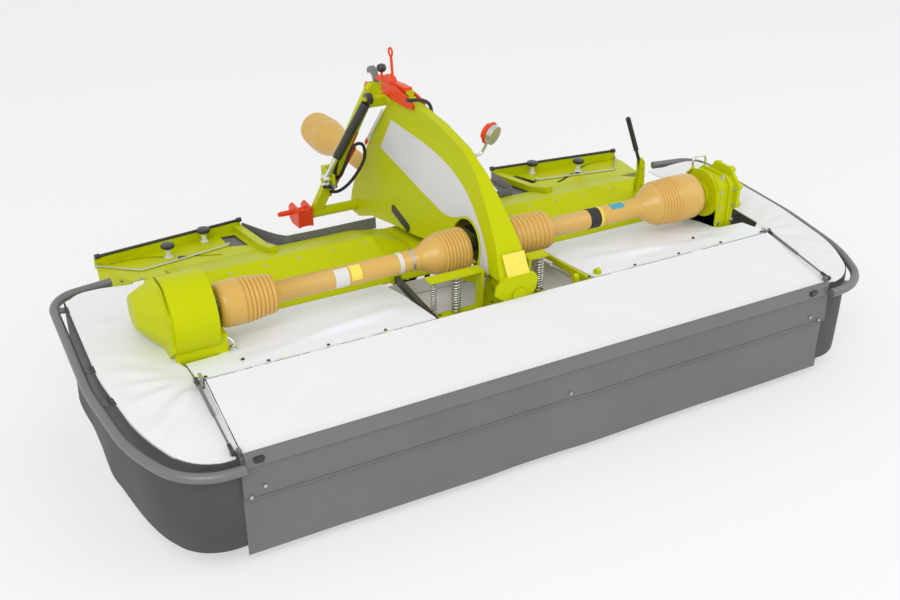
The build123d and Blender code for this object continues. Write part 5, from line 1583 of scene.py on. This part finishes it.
def makeHandLever(s):
    foot = Vector(s["foot"])
    end = Vector(s["end"])
    bm = bmesh.new()
    for y in s["plateFronts"]:
        addPrism(bm, s["plate"], "y", y, y + s["plateThickness"])
    addBlock(bm, *s["base"])
    front, rear = s["boltEnds"]
    for x, z in s["bolts"]:
        addRod(bm, (x, front, z), (x, rear, z), s["boltRadius"], 24)
    makePiece("leverFoot", bm, "limePaint", "deck", bevel=0.002, replaced=["hand_lever"])
    bm = bmesh.new()
    addRod(bm, foot, end, s["rod"], 20)
    makePiece("leverRod", bm, "blackPaint", "deck", bevel=0.001, replaced=["hand_lever"])
    bm = bmesh.new()
    start = foot.lerp(end, s["gripStart"])
    length = (end - start).length + s["gripOver"]
    grip = s["grip"]
    profile = [(0.0, grip - 0.003), (0.003, grip)]
    for i in range(s["gripRings"]):
        along = 0.012 + (length - 0.030) * i / s["gripRings"]
        profile += [(along, grip), (along + 0.004, grip - s["ringDepth"]), (along + 0.007, grip)]
    profile += [(length - 0.006, grip), (length, grip - 0.005)]
    addLathe(bm, profile, start, end - start, 28)
    makePiece("leverGrip", bm, "blackRubber", "deck")


makeHandLever(leverSettings)

# gas struts of the cover, in stretches from one eye to the other; the rod's neck starts at the lower eye
strutSettings = {
    "x": 1.420,
    "top": (0.424, 0.572),
    "low": (0.016, 0.497),
    "eyeHalf": 0.007,
    "tube": (0.075, 0.50, 0.0068, 24),
    "tubeEye": 0.0125,
    "tubeNeck": (0, 0.080, 0.0085, 20),
    "rod": (0.42, 1, 0.0042, 20),
    "rodEye": 0.0105,
    "rodNeck": (0, 0.11, 0.0078, 20),
}


def makeStruts(s):
    for side, word in bothSides:
        top = Vector((side * s["x"], *s["top"]))
        low = Vector((side * s["x"], *s["low"]))
        half = Vector((s["eyeHalf"], 0, 0))
        bm = bmesh.new()
        addStretch(bm, top, low, s["tube"])
        makePiece("strutTube." + word, bm, "tubeGrey", "strut_tube_" + word, bevel=0.001,
                  replaced=["strut_tube_" + word])
        bm = bmesh.new()
        addRod(bm, top - half, top + half, s["tubeEye"], 28)
        addStretch(bm, top, low, s["tubeNeck"])
        makePiece("strutEye." + word, bm, "blackPaint", "strut_tube_" + word, bevel=0.001,
                  replaced=["strut_tube_" + word])
        bm = bmesh.new()
        addStretch(bm, top, low, s["rod"])
        makePiece("strutRod." + word, bm, "tubeGrey", "strut_rod_" + word,
                  replaced=["strut_rod_" + word])
        bm = bmesh.new()
        addRod(bm, low - half, low + half, s["rodEye"], 28)
        addStretch(bm, low, top, s["rodNeck"])
        makePiece("rodEye." + word, bm, "blackPaint", "strut_rod_" + word, bevel=0.001,
                  replaced=["strut_rod_" + word])


makeStruts(strutSettings)

# white cloth that closes the steps: gussets beside the cover, and walls round the low panel under the boom
wallSettings = {
    "thickness": 0.003,
    "columns": 30,
    "rows": 6,
    "gusset": {"x": 1.3945, "start": 0.036, "end": 0.397, "drop": 0.005, "under": 0.002, "height": 0.04},
    "well": {"x": 0.3965, "front": 0.4325, "rear": 0.894, "low": 0.432, "drop": 0.001, "gap": 0.003,
             "height": 0.12, "rearHeight": 0.07},
}


def makeWall(s, name, lines, flip):
    # lines are places from front to rear, each with its upper and its lower end
    grid = [[(x, y, high + (low - high) * v) for x, y, high, low in lines] for v in spread(0, 1, s["rows"])]
    makeSheet(name, grid, "whiteTarp", "deck", s["thickness"],
              replaced=[], flip=flip)


def makeClothWalls(s, tarp, cover, deck):
    gusset = s["gusset"]
    well = s["well"]
    for side, word in bothSides:
        lines = []
        for y in spread(gusset["start"], gusset["end"], s["columns"]):
            rise = (y - cover["beamRearY"]) / (cover["hingeY"] - cover["beamRearY"])
            high = cover["frontZ"] + (cover["hingeZ"] - cover["frontZ"]) * rise - gusset["drop"]
            lines.append((side * gusset["x"], y, high, tarpLevel(tarp, y) - gusset["under"]))
        makeWall(s, "coverGusset." + word, lines, side > 0)
        lines = [(side * well["x"], y, lineHeight(deck["line"], y) - well["drop"], well["low"])
                 for y in spread(well["front"], well["rear"], s["columns"])]
        makeWall(s, "wellWall." + word, lines, side < 0)
    lines = [(x, well["rear"], lineHeight(deck["line"], well["rear"]), well["low"])
             for x in spread(-well["x"] + well["gap"], well["x"] - well["gap"], s["columns"])]
    makeWall(s, "wellWall.rear", lines, True)


makeClothWalls(wallSettings, sideTarpSettings, coverSettings, deckTarpSettings)

# rubber behind the hood: an upright strip bolted to its rear edge, and a grey rubber sheet under each swath
# plate, also painted shade behind its slots
rearRubberSettings = {
    # the strip's foot and top, from the middle outwards
    "low": [(0.165, 1.512, 0.498), (0.560, 1.512, 0.498), (0.655, 1.560, 0.492), (0.735, 1.890, 0.452)],
    "high": [(0.165, 1.516, 0.556), (0.560, 1.516, 0.556), (0.655, 1.564, 0.548), (0.735, 1.894, 0.500)],
    "stripHeight": 0.057,
    "under": 0.016,
    "slack": 0.003,
    "inner": [(1.516, 0.590), (1.930, 0.738)],
    "outerX": 1.440,
    "flat": (0.78, 0.42),
    "thickness": 0.004,
    "columns": 40,
    "rows": 8,
}


def mirrored(point, side):
    return (side * point.x, point.y, point.z)


def makeRearRubber(s, swath):
    lows = smoothPath(s["low"], 10)
    highs = smoothPath(s["high"], 10)
    for side, word in bothSides:
        grid = [[mirrored(low.lerp(high, v), side) for low, high in zip(lows, highs)]
                for v in spread(1, 0, s["rows"])]
        makeSheet("rearStrip." + word, grid, "greyRubber", "deck", s["thickness"],
                  replaced=[],
                  flip=side < 0)
        # the sheet under the plate is the grey rubber seen through its window, and painted shade that keeps
        # the floor from showing through the plate's slots
        grid = []
        for y in spread(s["inner"][0][0], s["inner"][1][0], s["columns"] // 2):
            z = swathHeight(swath, y) - s["under"]
            grid.append([(side * x, y, z - s["slack"] * slowNoise(x, y, side, 5.0, 2.0))
                         for x in spread(lineHeight(s["inner"], y), s["outerX"], s["columns"])])
        makeSheet("rearSheetSlotShade." + word, grid, "greyRubber", "deck", s["thickness"],
                  replaced=[],
                  flip=side < 0)


makeRearRubber(rearRubberSettings, swathSettings)

# arm, lugs and valve beside the boom's foot
footSettings = {
    "arm": ((0.386, 0.4305, 0.548), (0.386, 0.8950, 0.512), 0.016, 0.030),
    "lug": [(0.4305, 0.545), (0.4305, 0.590), (0.446, 0.598), (0.462, 0.584), (0.466, 0.560)],
    "lugs": [(0.300, 0.322), (0.418, 0.440)],
    "valve": [
        ("valveBody", "whitePlastic", "steel", (0.100, 0.592, 0.660), (0.172, 0.592, 0.654), 0.0115),
        ("valveSleeve", "signalRed", "red", (0.172, 0.592, 0.654), (0.246, 0.592, 0.648), 0.0100),
    ],
}


def makeFootDetails(s):
    bm = bmesh.new()
    addBar(bm, *s["arm"])
    for x0, x1 in s["lugs"]:
        addPrism(bm, s["lug"], "x", x0, x1)
    makePiece("sideArm", bm, "limePaint", "deck", bevel=0.002)
    for name, finish, slot, start, end, radius in s["valve"]:
        bm = bmesh.new()
        addRod(bm, start, end, radius, 24)
        makePiece(name, bm, finish, "deck", bevel=0.001)


makeFootDetails(footSettings)

# raised flange rims on the angle gearbox
gearSettings = {"rims": [(1.262, 1.272), (1.330, 1.342)], "front": 0.623, "rear": 0.877, "low": 0.505,
                "high": 0.790, "corner": 0.040}


def makeGearRims(s):
    bm = bmesh.new()
    c = s["corner"]
    outline = [(s["front"], s["low"]), (s["front"], s["high"] - c), (s["front"] + c, s["high"]),
               (s["rear"] - c, s["high"]), (s["rear"], s["high"] - c), (s["rear"], s["low"])]
    for x0, x1 in s["rims"]:
        addPrism(bm, outline, "x", x0, x1)
    makePiece("gearRims", bm, "limePaint", "deck", bevel=0.003)


makeGearRims(gearSettings)
print("struts, cloth walls, rubber and gearbox rims ready")

# bolts and snap studs: name, body, slot, start, step, facing, count, size; steel ones are zinc plated
boltRows = [
    ("hingeBolts", "deck", "dark_steel", (-1.380, 0.4305, 0.5718), (0.2509, 0, 0), (0, 0.2, 1), 12, 0.0050),
    ("deckBolt.left", "deck", "dark_steel", (-1.210, 0.500, 0.5640), (0.1, 0, 0), (0, 0.12, 1), 1, 0.0055),
    ("deckBolt.right", "deck", "dark_steel", (1.068, 0.556, 0.5575), (0.1, 0, 0), (0, 0.12, 1), 1, 0.0055),
    ("gearBolts.1", "deck", "steel", (1.283, 0.6350, 0.560), (0, 0, 0.080), (0, -1, 0), 4, 0.0080),
    ("gearBolts.2", "deck", "steel", (1.372, 0.6350, 0.560), (0, 0, 0.080), (0, -1, 0), 3, 0.0080),
    ("flapBolts.left", "deck", "dark_steel", (-0.580, 1.5085, 0.514), (0.199, 0, 0), (0, -0.3, 1), 2, 0.0065),
    ("flapBolts.right", "deck", "dark_steel", (0.381, 1.5085, 0.514), (0.199, 0, 0), (0, -0.3, 1), 2, 0.0065),
    ("hoodBolts.left", "deck", "steel", (-1.190, 1.190, 0.5925), (0.164, 0, 0), (0, -0.39, 0.92), 6, 0.0045),
    ("hoodBolts.right", "deck", "steel", (0.370, 1.190, 0.5925), (0.164, 0, 0), (0, -0.39, 0.92), 6, 0.0045),
    ("swathBolts.left", "deck", "steel", (-1.360, 1.452, 0.5293), (0.150, 0, 0), (0, 0.152, 1), 1, 0.0055),
    ("swathBolts.right", "deck", "steel", (1.360, 1.452, 0.5293), (0.150, 0, 0), (0, 0.152, 1), 1, 0.0055),
    ("sideBolts.left", "deck", "steel", (-1.2402, 1.010, 0.455), (0, 0.080, 0.0), (-1, 0, 0), 5, 0.0065),
]


# a circle of bolts on the gearbox's flange, and the snap studs of the front curtain
flangeSettings = {"x": 1.4040, "y": 0.740, "z": 0.690, "radius": 0.118, "count": 8, "size": 0.009}
snapSettings = {"y": -0.0185, "size": 0.0048,
                "places": [(-1.325, 0.343), (-1.380, 0.310), (1.306, 0.337), (1.363, 0.310), (-0.011, 0.329)]}


def makeAllBolts(flange, snap):
    for name, body, slot, start, step, facing, count, size in boltRows:
        makeBolts(name, body, start, step, facing, count, size,
                  "blackPaint" if slot == "dark_steel" else "zincSteel")
    for i in range(flange["count"]):
        angle = 2 * math.pi * (i + 0.5) / flange["count"]
        place = (flange["x"], flange["y"] + flange["radius"] * math.cos(angle),
                 flange["z"] + flange["radius"] * math.sin(angle))
        makeBolts("flangeBolt.%d" % (i + 1), "deck", place, (0.01, 0, 0), (1, 0, 0), 1,
                  flange["size"])
    for i, (x, z) in enumerate(snap["places"], 1):
        makeBolts("snap.%d" % i, "front_cover", (x, snap["y"], z), (0.01, 0, 0), (0, -1, 0), 1,
                  snap["size"], sides=24)


makeAllBolts(flangeSettings, snapSettings)

# lifting bail and shackle on top of the deck, and two latches on the front beam
smallSettings = {
    "bail": [(1.278, 0.848, 0.776), (1.278, 0.850, 0.815), (1.292, 0.852, 0.832), (1.342, 0.852, 0.832),
             (1.356, 0.850, 0.815), (1.356, 0.848, 0.776)],
    "bailRadius": 0.0055,
    "shackle": [(-1.250, 0.668, 0.560), (-1.246, 0.650, 0.590), (-1.232, 0.632, 0.604),
                (-1.216, 0.620, 0.594), (-1.206, 0.616, 0.574), (-1.214, 0.630, 0.556),
                (-1.236, 0.650, 0.546)],
    "shackleRadius": 0.0065,
    "pins": [((-1.262, 0.672, 0.558), (-1.196, 0.600, 0.552), 0.0075, 20),
             ((-1.262, 0.672, 0.558), (-1.262, 0.700, 0.558), 0.014, 24)],
    "latches": [(-1.341, 0.471), (1.297, 0.469)],
    "latchHalf": 0.016,
    "latchFaces": (-0.0275, -0.0195),
    "latchTop": 0.010,
    "latchRod": (0.020, -0.026, 0.006),
}


def makeSmallFittings(s):
    bm = bmesh.new()
    addTube(bm, smoothPath(s["bail"], 6), s["bailRadius"], 14)
    makePiece("bail", bm, "chromeRod", "deck")
    bm = bmesh.new()
    addTube(bm, smoothPath(s["shackle"], 6), s["shackleRadius"], 14)
    for pin in s["pins"]:
        addRod(bm, *pin)
    makePiece("shackle", bm, "chromeRod", "deck", bevel=0.0006)
    half = s["latchHalf"]
    reach, rodY, radius = s["latchRod"]
    for i, (x, z) in enumerate(s["latches"], 1):
        bm = bmesh.new()
        addBlock(bm, x - half, x + half, *s["latchFaces"], z - half, z + s["latchTop"])
        addRod(bm, (x - reach, rodY, z), (x + reach, rodY, z), radius, 16)
        makePiece("coverLatch.%d" % i, bm, "blackPaint", "front_cover", bevel=0.001)


makeSmallFittings(smallSettings)
print("bolts and fittings ready")
